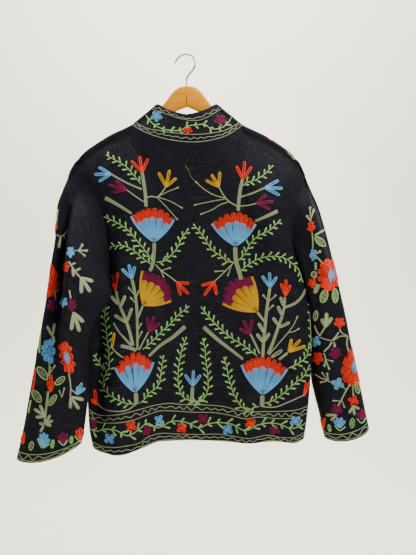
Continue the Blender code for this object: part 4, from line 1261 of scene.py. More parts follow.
        def spot(where, out):
            where, out = np.broadcast_arrays(np.asarray(where, dtype=float), out)
            angle = np.interp(where, (0, 0.5, 1), angles)
            angle = angle + sense * (2 * where - 1) * FAN_FLARE * (1 - out)
            ends = sizes[0] + (sizes[2] - sizes[0]) * where
            size = ends + (sizes[1] - ends) * smooth(1 - np.abs(2 * where - 1))
            way = np.stack([np.cos(angle), np.sin(angle)], axis=-1)
            return base + way * (size * out)[..., None]

        # Rows underneath in a darker tone of the outer thread: painted shade between the scallops
        self.shade = PAINTED_GROUND_SHADE
        for out in np.arange(share, 0.88, ROW_GAP / mean):
            self.row(bend(spot(np.linspace(0.02, 0.98, 30), out)), outer)
        self.lift, self.shade = self.lift + 0.2, 1
        for where in (np.arange(scallops) + 0.5) / scallops:
            self.loop(spot(where, share * 0.94), spot(where, 1), spread * mean * 1.02 / scallops,
                      outer, full=0.4, narrow=0.8, pitch=FILLED_PITCH)
        # Rows under the inner lobes, also darker: painted shade between the loops
        self.lift, self.shade = self.lift + 0.4, PAINTED_GROUND_SHADE
        count = math.ceil(spread * mean * share / ROW_GAP)
        for where in np.linspace(0.03, 0.97, count):
            line = bend(spot(where, np.linspace(0.05, share + 0.07, 12)))
            self.row(line, inner, np.linspace(0.45, 1.1, len(line)))
        self.lift, self.shade = self.lift + 0.15, 1
        for where in (np.arange(lobes) + 0.5) / lobes:
            self.loop(spot(where, 0.12), spot(where, share + 0.1),
                      spread * mean * share * 1.16 / lobes, inner, full=0.42, narrow=0.2,
                      pitch=FILLED_PITCH)
        for edge in (0, 1):
            line = bend(spot(edge, np.linspace(0.02, 1, 16)))
            inward = sense * (1 - 2 * edge) * np.linspace(0.5, 1, len(line)) * ROW_GAP
            for k in (-0.3, 0.7):
                self.row(beside(line, inward * k), inner, 1.1)
        self.lift -= 0.75

    def wave(self, points, thread="olive", high=1.5, length=9):
        line = bend(self.convert(points))
        at = along_line(line)
        sway = np.sin(math.tau * at / length + 0.8 * np.sin(at / 5.3))
        self.row(bend(beside(line, high * (0.8 + 0.3 * np.sin(at / 7.7)) * sway)), thread, LINE_WIDE)

    def vine(self, points, thread="grass", spur=8.2, gap=9.6, lean=42):
        """A stem with forked leaves on both sides in turn."""
        line = bend(self.convert(points))
        self.row(line, thread)
        at, run = along_line(line), heading(line)
        side, where = 1, gap * 0.5
        while where < at[-1] - 2:
            k = int(np.searchsorted(at, where))
            for angle, long in ((side * lean, spur), (-side * lean * 1.1, spur * 0.62)):
                self.leaflet(line[k], line[k] + turned(run[k], angle) * long, thread, 1.85)
            side = -side
            where += gap

    def rosette(self, centre, wide, tall, petals, thread, heart, first=0, sweep=360,
                eye=0.17, lean=0, aside=0):
        """A big flower: petals round a filled eye, which may stand aside of the middle."""
        centre = self.convert([centre])[0]
        hub = centre + np.array([aside, 0])
        eye = np.array([wide - 2 * abs(aside), tall]) * eye
        step = ROW_GAP / max(eye)
        for out in np.arange(1 - step / 2, 0.1, -step):
            self.ring(hub, eye[0] * out, eye[1] * out, heart, lean)
        if sweep == 360:
            # Rings underneath in a darker tone of the thread: painted shade between the petals
            self.shade = PAINTED_GROUND_SHADE
            for out in np.arange(0.3, GROUND_REACH, 4 * ROW_GAP / (wide + tall)):
                self.ring(hub + (centre - hub) * out, wide * out / 2, tall * out / 2,
                          thread, lean)
        self.lift, self.shade = self.lift + 0.2, 1
        for k in range(petals):
            angle = math.radians(first + sweep * (k + 0.5) / petals)
            way = np.array([math.cos(angle), math.sin(angle)])
            near = hub + turned(way * eye * 1.08, lean)
            far = centre + turned(way * (wide / 2, tall / 2), lean)
            span = math.radians(sweep / petals) * (wide + tall) / 4 * 0.95
            self.loop(near, far, span, thread, narrow=0.6, pitch=FILLED_PITCH)
        self.lift -= 0.2


def picture_point(points):
    """Where the main camera sees points given in millimetres, in picture units."""
    scale = (points[..., 1] - CAMERA[1]) / -CAMERA[1] * UNIT_ON_PLANE
    across = PICTURE_MIDDLE[0] + (points[..., 0] - CAMERA[0]) / scale
    down = PICTURE_MIDDLE[1] - (points[..., 2] - CAMERA[2]) / scale
    return np.stack([across, down], axis=-1)


class SeenCloth:
    """Puts picture units on cloth along the main camera's lines of sight."""

    def __init__(self, *items):
        bm = bmesh.new()
        for item in items:
            bm.from_mesh(item.data)
        self.tree = BVHTree.FromBMesh(bm)
        bm.free()

    def sight(self, point):
        across = (point[0] - PICTURE_MIDDLE[0]) * UNIT_ON_PLANE
        down = (PICTURE_MIDDLE[1] - point[1]) * UNIT_ON_PLANE
        return Vector(CAMERA) * MM, Vector((across, -CAMERA[1], down)).normalized()

    def place(self, line):
        points, normals = np.full((len(line), 3), np.nan), np.zeros((len(line), 3))
        for k, point in enumerate(line):
            spot, normal, _, _ = self.tree.ray_cast(*self.sight(point))
            if spot is not None:
                points[k] = spot / MM
                normals[k] = normal
        return points, normals


class FrontCloth(SeenCloth):
    """Puts units across and down on the front, straight along the depth."""

    def sight(self, point):
        return Vector((point[0] * UNIT * MM, 1, -point[1] * UNIT * MM)), Vector((0, -1, 0))


class RoundCloth:
    """Puts units round a sleeve and down its length, from the middle of its back."""

    def __init__(self, surface, start):
        rows, columns = (np.linspace(0, 1, count) for count in ROUND_GRID)
        v, u = np.meshgrid(rows, columns, indexing="ij")
        ring = surface(start + u, v)
        gaps = np.linalg.norm(np.diff(ring, axis=1), axis=2)
        at = np.concatenate([np.zeros((len(rows), 1)), np.cumsum(gaps, axis=1)], axis=1)
        self.round = at[:, -1]
        even = np.empty_like(ring)
        for k in range(len(rows)):
            for axis in range(3):
                even[k, :, axis] = np.interp(columns * self.round[k], at[k], ring[k, :, axis])
        self.points = even
        down = np.linalg.norm(np.diff(even[:, 0], axis=0), axis=1)
        self.length = np.concatenate([[0], np.cumsum(down)])
        across = np.gradient(even, axis=1)
        across[:, 0] = across[:, -1] = even[:, 1] - even[:, -2]
        normal = unit_length(np.cross(np.gradient(even, axis=0), across))
        outward = even - even[:, :-1].mean(axis=1, keepdims=True)
        self.normals = normal * np.sign((normal * outward).sum())
        self.picture = picture_point(even)
        sight = np.array(CAMERA) - even
        self.seen = (sight * self.normals).sum(axis=2) > SEEN_SLANT * np.linalg.norm(sight, axis=2)
        self.tree = KDTree(int(self.seen.sum()))
        for index in np.flatnonzero(self.seen):
            self.tree.insert((*self.picture.reshape(-1, 2)[index], 0), int(index))
        self.tree.balance()

    def nearest(self, line):
        """Row, column and share from the middle of the back of the cloth seen at each point."""
        index = [self.tree.find((x, y, 0))[1] for x, y in line]
        row, column = np.unravel_index(index, self.seen.shape)
        return row, column, (column / (self.points.shape[1] - 1) + 0.5) % 1 - 0.5

    def on_cloth(self, point):
        row, _, share = self.nearest([point])
        return share[0] * self.round[row[0]] / UNIT, self.length[row[0]] / UNIT

    def unrolled(self, rows):
        """Rows drawn as the camera sees them, turned into units round and down the sleeve."""
        columns = self.points.shape[1] - 1
        per_column = (self.round / columns / UNIT)[:, None]
        per_row = np.gradient(self.length)[:, None] / UNIT
        a, c = np.moveaxis(np.gradient(self.picture, axis=1) / per_column[..., None], -1, 0)
        b, d = np.moveaxis(np.gradient(self.picture, axis=0) / per_row[..., None], -1, 0)
        turn = a * d - b * c
        out = []
        for line, thread, wide, lift, shade in rows:
            row, column, share = self.nearest(line)
            miss = line - self.picture[row, column]
            far = np.hypot(*miss.T)
            run = heading(line)
            size = [values[row, column] for values in (a, b, c, d, turn)]

            def back(x, y):
                return ((size[3] * x - size[1] * y) / size[4],
                        (size[0] * y - size[2] * x) / size[4])
            slack = EDGE_SLACK + far
            across, down = (np.clip(part, -slack, slack) for part in back(*miss.T))
            across = share * self.round[row] / UNIT + across
            down = self.length[row] / UNIT + down
            grow = np.clip(np.hypot(*back(-run[:, 1], run[:, 0])), 1, WIDEST_AT_EDGE)
            out.append((np.column_stack([across, down]), thread, wide * grow, lift, shade))
        return out

    def place(self, line):
        down = np.interp(line[:, 1] * UNIT, self.length, np.arange(len(self.length)))
        off = (line[:, 1] < 0) | (line[:, 1] * UNIT > self.length[-1])
        size = np.interp(down, np.arange(len(self.round)), self.round)
        columns = self.points.shape[1] - 1
        across = (line[:, 0] * UNIT / size % 1) * columns
        row = np.minimum(down.astype(int), len(self.round) - 2)
        column = np.minimum(across.astype(int), columns - 1)
        a, b = (down - row)[:, None], (across - column)[:, None]

        def mixed(values):
            low = values[row, column] * (1 - b) + values[row, column + 1] * b
            high = values[row + 1, column] * (1 - b) + values[row + 1, column + 1] * b
            return low * (1 - a) + high * a
        points = mixed(self.points)
        points[off] = np.nan
        return points, mixed(self.normals)


def worked_row(points, normals, wide):
    """Even rings along one row on the cloth, or none where it is too short."""
    at = np.concatenate([[0], np.cumsum(np.linalg.norm(np.diff(points, axis=0), axis=1))])
    count = max(int(round(at[-1] / STITCH * RINGS_A_STITCH)), 1) + 1
    if at[-1] < SHORTEST_ROW:
        return None
    where = np.linspace(0, at[-1], count)
    columns = np.column_stack([points, normals, wide])
    rings = np.stack([np.interp(where, at, column) for column in columns.T], axis=-1)
    up = unit_length(rings[:, 3:6])
    side = np.cross(up, unit_length(np.gradient(rings[:, :3], axis=0)))
    middle_of_link = np.arange(count) % 2 == 0
    waist = np.where(middle_of_link, 1, ROW_WAIST)
    waist[0] = waist[-1] = END_WAIST
    high = np.sqrt(rings[:, 6]) * np.where(middle_of_link, 1, ROW_DIP)
    high[0] = high[-1] = END_HIGH
    return rings[:, :3], side, up, rings[:, 6] * waist, high, where


def pieces_on_cloth(line, wide, place):
    """The stretches of a row that lie on the cloth without a jump across a fold."""
    points, normals = place(line)
    good = np.isfinite(points[:, 0])
    far = np.linalg.norm(np.diff(points, axis=0), axis=1) > LONGEST_JUMP
    cuts = np.flatnonzero(far | ~good[1:] | ~good[:-1]) + 1
    for part in np.split(np.arange(len(line)), cuts):
        if good[part[0]]:
            yield points[part], normals[part], wide[part]


def soften(normals):
    if len(normals) < 3:
        return normals
    padded = np.concatenate([normals[:1], normals, normals[-1:]])
    return (padded[:-2] + padded[1:-1] + padded[2:]) / 3


def grid_of(columns, rows):
    """A flat grid to be shaped, and the shares across and along it at its points."""
    bm = bmesh.new()
    bmesh.ops.create_grid(bm, x_segments=columns, y_segments=rows, size=0.5)
    return bm, np.array([vertex.co[:2] for vertex in bm.verts], dtype=float) + 0.5


def shape(bm, points):
    """Move a grid's points to their places in millimetres, and close its ends."""
    for vertex, point in zip(bm.verts, points * MM):
        vertex.co = point
    bmesh.ops.remove_doubles(bm, verts=bm.verts, dist=MERGE_DISTANCE * MM)
    bmesh.ops.recalc_face_normals(bm, faces=bm.faces)


def mesh_of(name, bm):
    mesh = bpy.data.meshes.new(name)
    bm.to_mesh(mesh)
    bm.free()
    return mesh


def placed(name, data):
    """An object in the scene from its data."""
    item = bpy.data.objects.new(name, data)
    bpy.context.scene.collection.objects.link(item)
    return item


def finished(name, mesh, material):
    """A smooth object of one material that rides on the jacket's body."""
    mesh.materials.append(material)
    mesh.shade_smooth()
    item = placed(name, mesh)
    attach(item, BODY)
    return item


def embroidery(name, work, place):
    """Chain stitch in relief: one long strip of links, cut between the rows."""
    threads = bpy.context.scene.suzani_threads
    dice = np.random.default_rng(len(name) + ord(name[-1]))
    strips, tints, shifts = [], [], []
    for line, thread, wide, lift, shade in work.rows:
        colour = np.array(getattr(threads, THREADS[thread]))
        tint = colour * shade * (1 + dice.uniform(-TONE_VARIES, TONE_VARIES))
        tint = tint * (1 + dice.uniform(-HUE_VARIES, HUE_VARIES, 3))
        raise_by = lift + dice.uniform(0, LIFT_VARIES)
        for points, normals, width in pieces_on_cloth(line, wide, place):
            if len(points) < 2:
                continue
            strip = worked_row(points, soften(normals), width)
            if strip is not None:
                strips.append(strip)
                tints.append(tint)
                shifts.append(raise_by)
    sizes = np.array([len(strip[0]) for strip in strips])
    total = int(sizes.sum())
    middle, side, up, half, high = (
        np.concatenate([strip[k] for strip in strips]) for k in range(5))
    lift = np.repeat(shifts, sizes)
    along = np.concatenate([strip[5] for strip in strips]) / STITCH + np.repeat(
        dice.uniform(0, 40, len(strips)).round(), sizes)

    across = len(ROW_ACROSS) - 1
    bm, shares = grid_of(total - 1, across)
    ring, level = np.rint(shares * (total - 1, across)).astype(int).T
    last = set((np.cumsum(sizes) - 1).tolist())
    between = [face for face in bm.faces
               if round((min(v.co.x for v in face.verts) + 0.5) * (total - 1)) in last]
    bmesh.ops.delete(bm, geom=between, context="FACES")
    mesh = mesh_of(name, bm)

    out = np.array(ROW_ACROSS)[level] * half[ring] * ROW_WIDE / 2
    rise = np.array(ROW_RISE)[level]
    rise = np.where(rise > 0, rise * high[ring] * ROW_HIGH, -ROW_SUNK) + lift[ring]
    points = middle[ring] + side[ring] * out[:, None] + up[ring] * rise[:, None]
    mesh.vertices.foreach_set("co", (points * MM).astype(np.float32).ravel())
    colour = np.ones((len(ring), 4), dtype=np.float32)
    colour[:, :3] = np.repeat(np.clip(tints, 0, 1), sizes, axis=0)[ring]
    thread = mesh.color_attributes.new("thread", "FLOAT_COLOR", "POINT")
    thread.data.foreach_set("color", colour.ravel())
    corner = np.empty(len(mesh.loops), dtype=np.int32)
    mesh.loops.foreach_get("vertex_index", corner)
    link = np.column_stack([along[ring], level / across])[corner]
    mesh.uv_layers.new(name="link").data.foreach_set("uv", link.astype(np.float32).ravel())
    mesh.update()
    return finished(name, mesh, made("chain_stitch_thread", chain_thread))


def fine_cloth(name, node, grid, cut, place, inside, closed=False):
    """Cloth of one panel on its solid's form, with an inner side and a folded edge."""
    bm, shares = grid_of(*grid)
    shares = np.round(shares, 6)
    for vertex, point in zip(bm.verts, place(shares[:, 0], shares[:, 1]) * MM):
        vertex.co = point
    weave = bm.loops.layers.uv.new("weave")
    for face in bm.faces:
        for loop in face.loops:
            loop[weave].uv = shares[loop.vert.index] * np.array(cut)
    if closed:
        bmesh.ops.remove_doubles(bm, verts=bm.verts, dist=MERGE_DISTANCE * MM)
    bm.normal_update()
    centre = Vector(inside) * MM
    if sum(face.normal.dot(face.calc_center_median() - centre) for face in bm.faces) < 0:
        bmesh.ops.reverse_faces(bm, faces=bm.faces)
    cotton = made("black_cotton_cloth", black_cotton)
    item = finished(name, mesh_of(name, bm), cotton)
    wall = item.modifiers.new("Thickness", "SOLIDIFY")
    wall.thickness = bpy.context.scene.suzani_cloth.thickness
    wall.offset = -1
    wall.use_rim = True
    wall.use_even_offset = False
    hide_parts(node)
    return item


class Value:
    """A shader socket that takes part in Python sums."""

    def __init__(self, finish, socket):
        self.finish = finish
        self.socket = socket

    def sum(self, operation, *parts):
        return self.finish.node("ShaderNodeMath", {"operation": operation}, dict(enumerate(parts)))

    def __add__(self, other):
        return self.sum("ADD", self, other)

    __radd__ = __add__

    def __sub__(self, other):
        return self.sum("SUBTRACT", self, other)

    def __rsub__(self, other):
        return self.sum("SUBTRACT", other, self)

    def __mul__(self, other):
        return self.sum("MULTIPLY", self, other)

    __rmul__ = __mul__

    def __abs__(self):
        return self.sum("ABSOLUTE", self)

    def sine(self):
        return self.sum("SINE", self)


class Finish:
    """A material put together node by node."""

    def __init__(self, name):
        self.material = bpy.data.materials.new(name)
        self.material.use_nodes = True
        self.tree = self.material.node_tree
        self.shader = self.tree.nodes["Principled BSDF"]
        self.place = self.node("ShaderNodeTexCoord", out=3)

    def join(self, socket, value):
        if isinstance(value, Value):
            self.tree.links.new(value.socket, socket)
        else:
            socket.default_value = value

    def node(self, kind, settings=None, sockets=None, out=0):
        node = self.tree.nodes.new(kind)
        for name, value in (settings or {}).items():
            setattr(node, name, value)
        for key, value in (sockets or {}).items():
            self.join(node.inputs[key], value)
        return Value(self, node.outputs[out])

    def noise(self, where, scale, detail=2, roughness=0.5):
        return self.node("ShaderNodeTexNoise", {}, {
            "Vector": where, "Scale": scale, "Detail": detail, "Roughness": roughness})

    def streaks(self, where, scale, detail=2, roughness=0.5):
        """Noise drawn out by three scales."""
        where = self.node("ShaderNodeMapping", {}, {"Vector": where, "Scale": scale})
        return self.noise(where, 1, detail, roughness)

    def band(self, value, low, high):
        return self.node("ShaderNodeMapRange", {"interpolation_type": "SMOOTHSTEP"}, {
            "Value": value, "From Min": low, "From Max": high})

    def mix(self, factor, first, second, blend="MIX"):
        return self.node("ShaderNodeMix", {"data_type": "RGBA", "blend_type": blend}, {
            0: factor, 6: first, 7: second}, out=2)

    def bump(self, height, strength, distance):
        return self.node("ShaderNodeBump", {}, {
            "Height": height, "Strength": strength, "Distance": distance})

    def set(self, **values):
        for socket, value in values.items():
            self.join(self.shader.inputs[socket.replace("_", " ")], value)
        return self.material


def rgba(colour, times=1):
    return (colour[0] * times, colour[1] * times, colour[2] * times, 1)


def made(name, make):
    """The material of that name, put together when it is first asked for."""
    return bpy.data.materials.get(name) or make(Finish(name))


def black_cotton(finish):
    """Hand-woven black cotton: slubs along and across, a faint bluish wear and pale lint."""
    look = bpy.context.scene.suzani_cloth
    weave = finish.node("ShaderNodeUVMap", {"uv_map": "weave"})
    warp = finish.streaks(weave, (620, 50, 1), 3, 0.6)
    weft = finish.streaks(weave, (45, 560, 1), 3, 0.6)
    slub = finish.band(finish.streaks(weave, (26, 300, 1)), 0.56, 0.74)
    wear = finish.noise(finish.place, 14, 3)
    lint = finish.band(finish.noise(finish.place, 330, 1), 0.76, 0.79)
    threads = warp * 0.5 + weft * 0.5 + slub * 0.3
    colour = finish.mix(finish.band(threads, 0.36, 0.72), rgba(look.colour, 0.35),
                        rgba(look.colour, 2.4))
    colour = finish.mix(finish.band(wear, 0.4, 0.75) * 0.5, colour, rgba(look.worn_colour))
    colour = finish.mix(lint * 0.2, colour, (0.12, 0.12, 0.13, 1))
    return finish.set(Base_Color=colour, Roughness=0.8 + threads * 0.14, Specular_IOR_Level=0.1,
                      Normal=finish.bump(threads, 0.6, 0.0008))


def chain_thread(finish):
    """Soft cotton floss: strands that slant towards the middle of each link, with painted shade in
    the hollows between strands and along the row edges.
    """
    thread = finish.node("ShaderNodeAttribute", {"attribute_name": "thread"})
    link = finish.node("ShaderNodeUVMap", {"uv_map": "link"})
    axes = finish.node("ShaderNodeSeparateXYZ", {}, {0: link})
    along, across = axes, Value(finish, axes.socket.node.outputs[1])
    off_middle = abs(across - 0.5)
    slant = along + off_middle * 1.3
    strand = (slant * math.tau).sine()
    fibre = (slant * (12 * math.pi)).sine()
    height = strand * 0.5 + fibre * 0.14
    heather = finish.noise(finish.place, 260)
    # Painted shade: the thread's colour is darkened in the hollows between its strands and along the
    # edges of each row, where the grooves between rows lie in shade
    edge = finish.band(off_middle, 0.3, 0.47)
    painted_groove_shade = (finish.band(strand, -1, -0.1) * 0.5 + 0.56) * (1 - edge * 0.7)
    colour = finish.mix(1, thread, finish.node("ShaderNodeCombineColor", {}, {
        0: painted_groove_shade, 1: painted_groove_shade, 2: painted_groove_shade}), "MULTIPLY")
    colour = finish.mix(finish.band(heather, 0.35, 0.7) * 0.3, colour, finish.mix(
        1, colour, (0.62, 0.62, 0.66, 1), "MULTIPLY"))
    return finish.set(Base_Color=colour, Roughness=0.55 + heather * 0.2, Specular_IOR_Level=0.16,
                      Sheen_Weight=0.02, Sheen_Roughness=0.4,
                      Normal=finish.bump(height, 0.6, 0.0006))


def honey_wood(finish):
    """Clear-varnished pale hardwood with its grain along the arms."""
    look = bpy.context.scene.suzani_hanger
    place = finish.place
    sway = finish.streaks(place, (6, 30, 30))
    grain = finish.streaks(place, (12, 420, 300), 4, 0.6)
    pores = finish.band(finish.streaks(place, (60, 1500, 1500)), 0.6, 0.75)
    tone = finish.band(grain * 0.7 + sway * 0.3, 0.36, 0.66)
    colour = finish.mix(tone, rgba(look.wood, 0.82), rgba(look.wood, 1.12))
    colour = finish.mix(pores * 0.4, colour, rgba(look.wood, 0.35))
    across = finish.node("ShaderNodeSeparateXYZ", {}, {0: place})
    height = finish.node("ShaderNodeSeparateXYZ", {}, {0: place}, out=2)
    away = finish.band(abs(across + 0.001), 0.0003, 0.0011)
    above = finish.band(height, -0.086, -0.078)
    colour = finish.mix(away + above - away * above, rgba(look.wood, 0.14), colour)
    return finish.set(Base_Color=colour, Roughness=0.34 + tone * 0.12, Specular_IOR_Level=0.06,
                      Normal=finish.bump(grain * 0.5 - pores * 0.5, 0.25, 0.0005))


def steel_wire(finish):
    """Bright drawn steel with fine lengthwise marks and a few dull spots."""
    marks = finish.streaks(finish.place, (2400, 2400, 300))
    spots = finish.band(finish.noise(finish.place, 420), 0.58, 0.7)
    colour = finish.mix(spots * 0.6, (0.36, 0.36, 0.35, 1), (0.16, 0.15, 0.14, 1))
    return finish.set(Base_Color=colour, Roughness=0.2 + marks * 0.14 + spots * 0.25,
                      Metallic=1, Normal=finish.bump(marks, 0.2, 0.0002))


def studio_paper(finish):
    look = bpy.context.scene.suzani_stage
    mottle = finish.noise(finish.place, 3, 3)
    colour = finish.mix(mottle * 0.4, rgba(look.backdrop), rgba(look.backdrop, 0.95))
    return finish.set(Base_Color=colour, Roughness=0.9 - mottle * 0.05, Specular_IOR_Level=0.1)


def plain(word):
    """A thread's name as it stands, a count or a size as a number."""
    if word.isalpha():
        return word
    return int(word) if word.isdigit() else float(word)


def motifs(layout):
    """The motifs of a layout: a kind, its points, and then its sizes and threads."""
    for line in filter(None, layout.replace("\n ", " ").split("\n")):
        kind, *words = line.split()
        points = points_of(line)
        single = SINGLE_POINTS.get(kind, 0)
        listed = [points[single:]] if len(points) > single else []
        yield (kind, *points[:single], *listed, *(plain(word) for word in words if "," not in word))


def sew(work, listed):
    """Work the motifs of a layout one after another."""
    for kind, *rest in listed:
        if kind in ("leaflet", "finger"):
            rest[:2] = work.convert(rest[:2])
        getattr(work, kind)(*rest)
        work.lift = (work.lift + MOTIF_LIFT) % LIFT_RANGE


def halfway(first, second):
    """The line in the middle between two lines, by their shares of length."""
    first, second = bend(first, 2), bend(second, 2)
    where = np.linspace(0, 1, WAVE_POINTS)

    def even(line):
        at = along_line(line)
        return np.column_stack([np.interp(where * at[-1], at, line[:, k]) for k in range(2)])
    return (even(first) + even(second)) / 2


def colour_setting(name, description, default):
    return FloatVectorProperty(name=name, description=description, subtype="COLOR",
                               default=default, min=0, max=1)


class SuzaniCloth(bpy.types.PropertyGroup):
    thickness: FloatProperty(
        name="Thickness", description="Thickness of the hand-woven cotton",
        default=CLOTH_WALL * MM, min=0.0005, max=0.003, precision=4, unit="LENGTH")
    colour: colour_setting(
        "Cloth Colour", "Colour of the black cotton", (0.0056, 0.0056, 0.0088))
    worn_colour: colour_setting(
        "Worn Colour", "Colour where the cotton is rubbed", (0.0085, 0.0088, 0.0135))


class SuzaniThreads(bpy.types.PropertyGroup):
    orange: colour_setting(
        "Orange", "Colour of the orange-red thread", (0.76, 0.03, 0.004))
    blue: colour_setting(
        "Blue", "Colour of the sky blue thread", (0.115, 0.37, 0.68))
    mustard: colour_setting(
        "Mustard", "Colour of the mustard thread", (0.62, 0.32, 0.0012))
    plum: colour_setting(
        "Plum", "Colour of the plum thread", (0.185, 0.001, 0.05))
    olive: colour_setting(
        "Sage", "Colour of the sage thread of stems and lines", (0.32, 0.37, 0.20))
    grass: colour_setting(
        "Grass Green", "Colour of the green thread of sprigs", (0.27, 0.52, 0.15))


class SuzaniHanger(bpy.types.PropertyGroup):
    wood: colour_setting(
        "Wood", "Colour of the varnished wood", (0.80, 0.305, 0.011))
    wire: FloatProperty(
        name="Wire Radius", description="Radius of the hook's wire",
        default=WIRE_RADIUS * MM, min=0.001, max=0.003, precision=4, unit="LENGTH")


class SuzaniStage(bpy.types.PropertyGroup):
    backdrop: colour_setting(
        "Backdrop", "Colour of the studio paper", (0.9, 0.86, 0.74))
    floor: FloatProperty(
        name="Floor Height", description="Height of the floor under the hook",
        default=-1.6, unit="LENGTH")
    wall: FloatProperty(
        name="Wall Distance", description="How far behind the hanger the paper rises",
        default=3.2, unit="LENGTH")
    light: FloatProperty(
        name="Light", description="Strength of the studio lights", default=1.2, min=0)


def stage_profile(share, wall):
    """Depth and height along the paper: floor, a round bend and the wall."""
    flat = STAGE_FRONT + wall - STAGE_BEND
    bend_length = STAGE_BEND * math.pi / 2
    at = share * (flat + bend_length + STAGE_TOP)
    if at < flat:
        return at - STAGE_FRONT, 0
    if at < flat + bend_length:
        angle = (at - flat) / STAGE_BEND
        return (wall - STAGE_BEND + STAGE_BEND * math.sin(angle),
                STAGE_BEND * (1 - math.cos(angle)))
    return wall, STAGE_BEND + at - flat - bend_length


class SUZANI_OT_stage(bpy.types.Operator):
    """Set up the camera, the pale studio and its soft lights"""
    bl_idname = "suzani.stage"
    bl_label = "Studio and Camera"

    def execute(self, context):
        look = context.scene.suzani_stage
        data = bpy.data.cameras.new("main_camera")
        data.sensor_fit = "VERTICAL"
        data.sensor_height = SENSOR_HEIGHT
        data.lens = SENSOR_HEIGHT * -CAMERA[1] / (PICTURE_HEIGHT * UNIT_ON_PLANE)
        camera = placed("main_camera", data)
        camera.location = Vector(CAMERA) * MM
        camera.rotation_euler = (math.radians(90), 0, 0)
        context.scene.camera = camera

        bm, shares = grid_of(2, STAGE_STEPS)
        for vertex, share in zip(bm.verts, shares[:, 1]):
            depth, height = stage_profile(share, look.wall)
            vertex.co = (vertex.co.x * 2 * STAGE_HALF, depth, look.floor + height)
        bmesh.ops.recalc_face_normals(bm, faces=bm.faces)
        mesh = mesh_of("studio_backdrop", bm)
        mesh.materials.append(made("pale_studio", studio_paper))
        mesh.shade_smooth()
        placed("studio_backdrop", mesh)

        for name, place, aim, size, power, colour in LIGHTS:
            light = bpy.data.lights.new(name, "AREA")
            light.shape = "RECTANGLE"
            light.size, light.size_y = size
            light.energy = power * look.light
            light.color = colour
            lamp = placed(name, light)
            lamp.location = place
            way = Vector(aim) - Vector(place)
            lamp.rotation_euler = way.to_track_quat("-Z", "Y").to_euler()
        world = context.scene.world or bpy.data.worlds.new("studio_air")
        context.scene.world = world
        world.use_nodes = True
        air = world.node_tree.nodes["Background"]
        air.inputs["Color"].default_value = (0.95, 0.97, 1, 1)
        air.inputs["Strength"].default_value = AMBIENT * look.light
        return {"FINISHED"}


class SUZANI_OT_hanger(bpy.types.Operator):
    """Make the wooden hanger with its wire hook"""
    bl_idname = "suzani.hanger"
    bl_label = "Hanger"

    def execute(self, context):
        bm, shares = grid_of(*WOOD_GRID)
        half = np.abs(2 * shares[:, 0] - 1) ** WOOD_TIP_CROWDING
        u = 0.5 + np.where(shares[:, 0] < 0.5, -0.5, 0.5) * half
        shape(bm, wood_surface(np.round(u, 6), np.round(shares[:, 1], 6) % 1))
        wood = finished("hanger_wood_bar", mesh_of("hanger_wood_bar", bm),
                        made("honey_wood_grain", honey_wood))
        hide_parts("hanger_wood")

        lengths = along_line(HOOK_ROUTE)
        even = Table("s x z", np.column_stack([lengths, HOOK_ROUTE]))
        path = even(np.linspace(0, lengths[-1], HOOK_STEPS))
        bm, shares = grid_of(HOOK_STEPS - 1, WIRE_SIDES)
        step = np.rint(shares[:, 0] * (HOOK_STEPS - 1)).astype(int)
        angle = math.tau * shares[:, 1]
        left = np.minimum(step, HOOK_STEPS - 1 - step) / WIRE_END_STEPS
        radius = context.scene.suzani_hanger.wire / MM * np.sqrt(1 - np.maximum(1 - left, 0) ** 2)
        run = heading(path)[step] * (radius * np.cos(angle))[:, None]
        x, z = path[step, 0] - run[:, 1], path[step, 1] + run[:, 0]
        shape(bm, xyz(x, radius * np.sin(angle), z))
        hook = finished("hanger_hook_wire", mesh_of("hanger_hook_wire", bm),
                        made("steel_hook_wire", steel_wire))
        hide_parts("hanger_hook")
        return {"FINISHED"}


class SUZANI_OT_back(bpy.types.Operator):
    """Cut, hang and embroider the back of the jacket"""
    bl_idname = "suzani.back"
    bl_label = "Back"

    def execute(self, context):
        cloth = fine_cloth("back_cloth", "back_panel", BACK_GRID, BACK_CUT, fine_back,
                           (20, 30, -480))
        seen = SeenCloth(cloth)
        upper, lower, hem = Needlework(), Needlework(), Needlework()
        sew(upper, motifs(UPPER_LEFT + UPPER_RIGHT + MIDDLE_LEFT))
        sew(lower, motifs(MIDDLE_RIGHT + LOWER_LEFT + LOWER_RIGHT + CENTRE))
        for line in (HEM_TOP, HEM_UNDER, HEM_LOW, HEM_EDGE):
            hem.row(bend(line), "olive", LINE_WIDE)
        hem.wave(halfway(HEM_TOP, HEM_UNDER))
        hem.wave(halfway(HEM_LOW, HEM_EDGE), high=1)
        hem.vine(HEM_VINE)
        hem.lift = BLOSSOM_LIFT
        for k, (x, y, wide, tall, thread) in enumerate(HEM_BLOSSOMS):
            hem.blossom((x, y), wide, tall, thread, turn=45 + 16 * math.sin(2.6 * k))
        pieces = [
            embroidery("back_upper_embroidery", upper, seen.place),
            embroidery("back_lower_embroidery", lower, seen.place),
            embroidery("back_hem_embroidery", hem, seen.place)]
        return {"FINISHED"}


class SUZANI_OT_collar(bpy.types.Operator):
    """Sew and embroider the collar band behind the neck"""
    bl_idname = "suzani.collar"
    bl_label = "Collar"

    def execute(self, context):
        cloth = fine_cloth("collar_cloth", "collar", COLLAR_GRID, COLLAR_CUT,
                           lambda u, v: collar_surface(at_stops(u, NECK), v), (0, 60, -140))
        seen = SeenCloth(cloth, bpy.data.objects["back_cloth"])
        work = Needlework()
        for line in COLLAR_LINES:
            work.row(bend(line), "olive", LINE_WIDE)
        for line in COLLAR_WAVES:
            work.wave(line, high=0.8, length=8)
        work.vine(COLLAR_VINE, gap=8.5, spur=5.6)
        work.lift = BLOSSOM_LIFT
        for x, y, wide, tall, thread in COLLAR_BLOSSOMS:
            work.blossom((x, y), wide, tall, thread, lobes=5, turn=90)
        piece = embroidery("collar_embroidery", work, seen.place)
        return {"FINISHED"}


def below_edge(edge, up):
    return [(x, y - up) for x, y in edge]


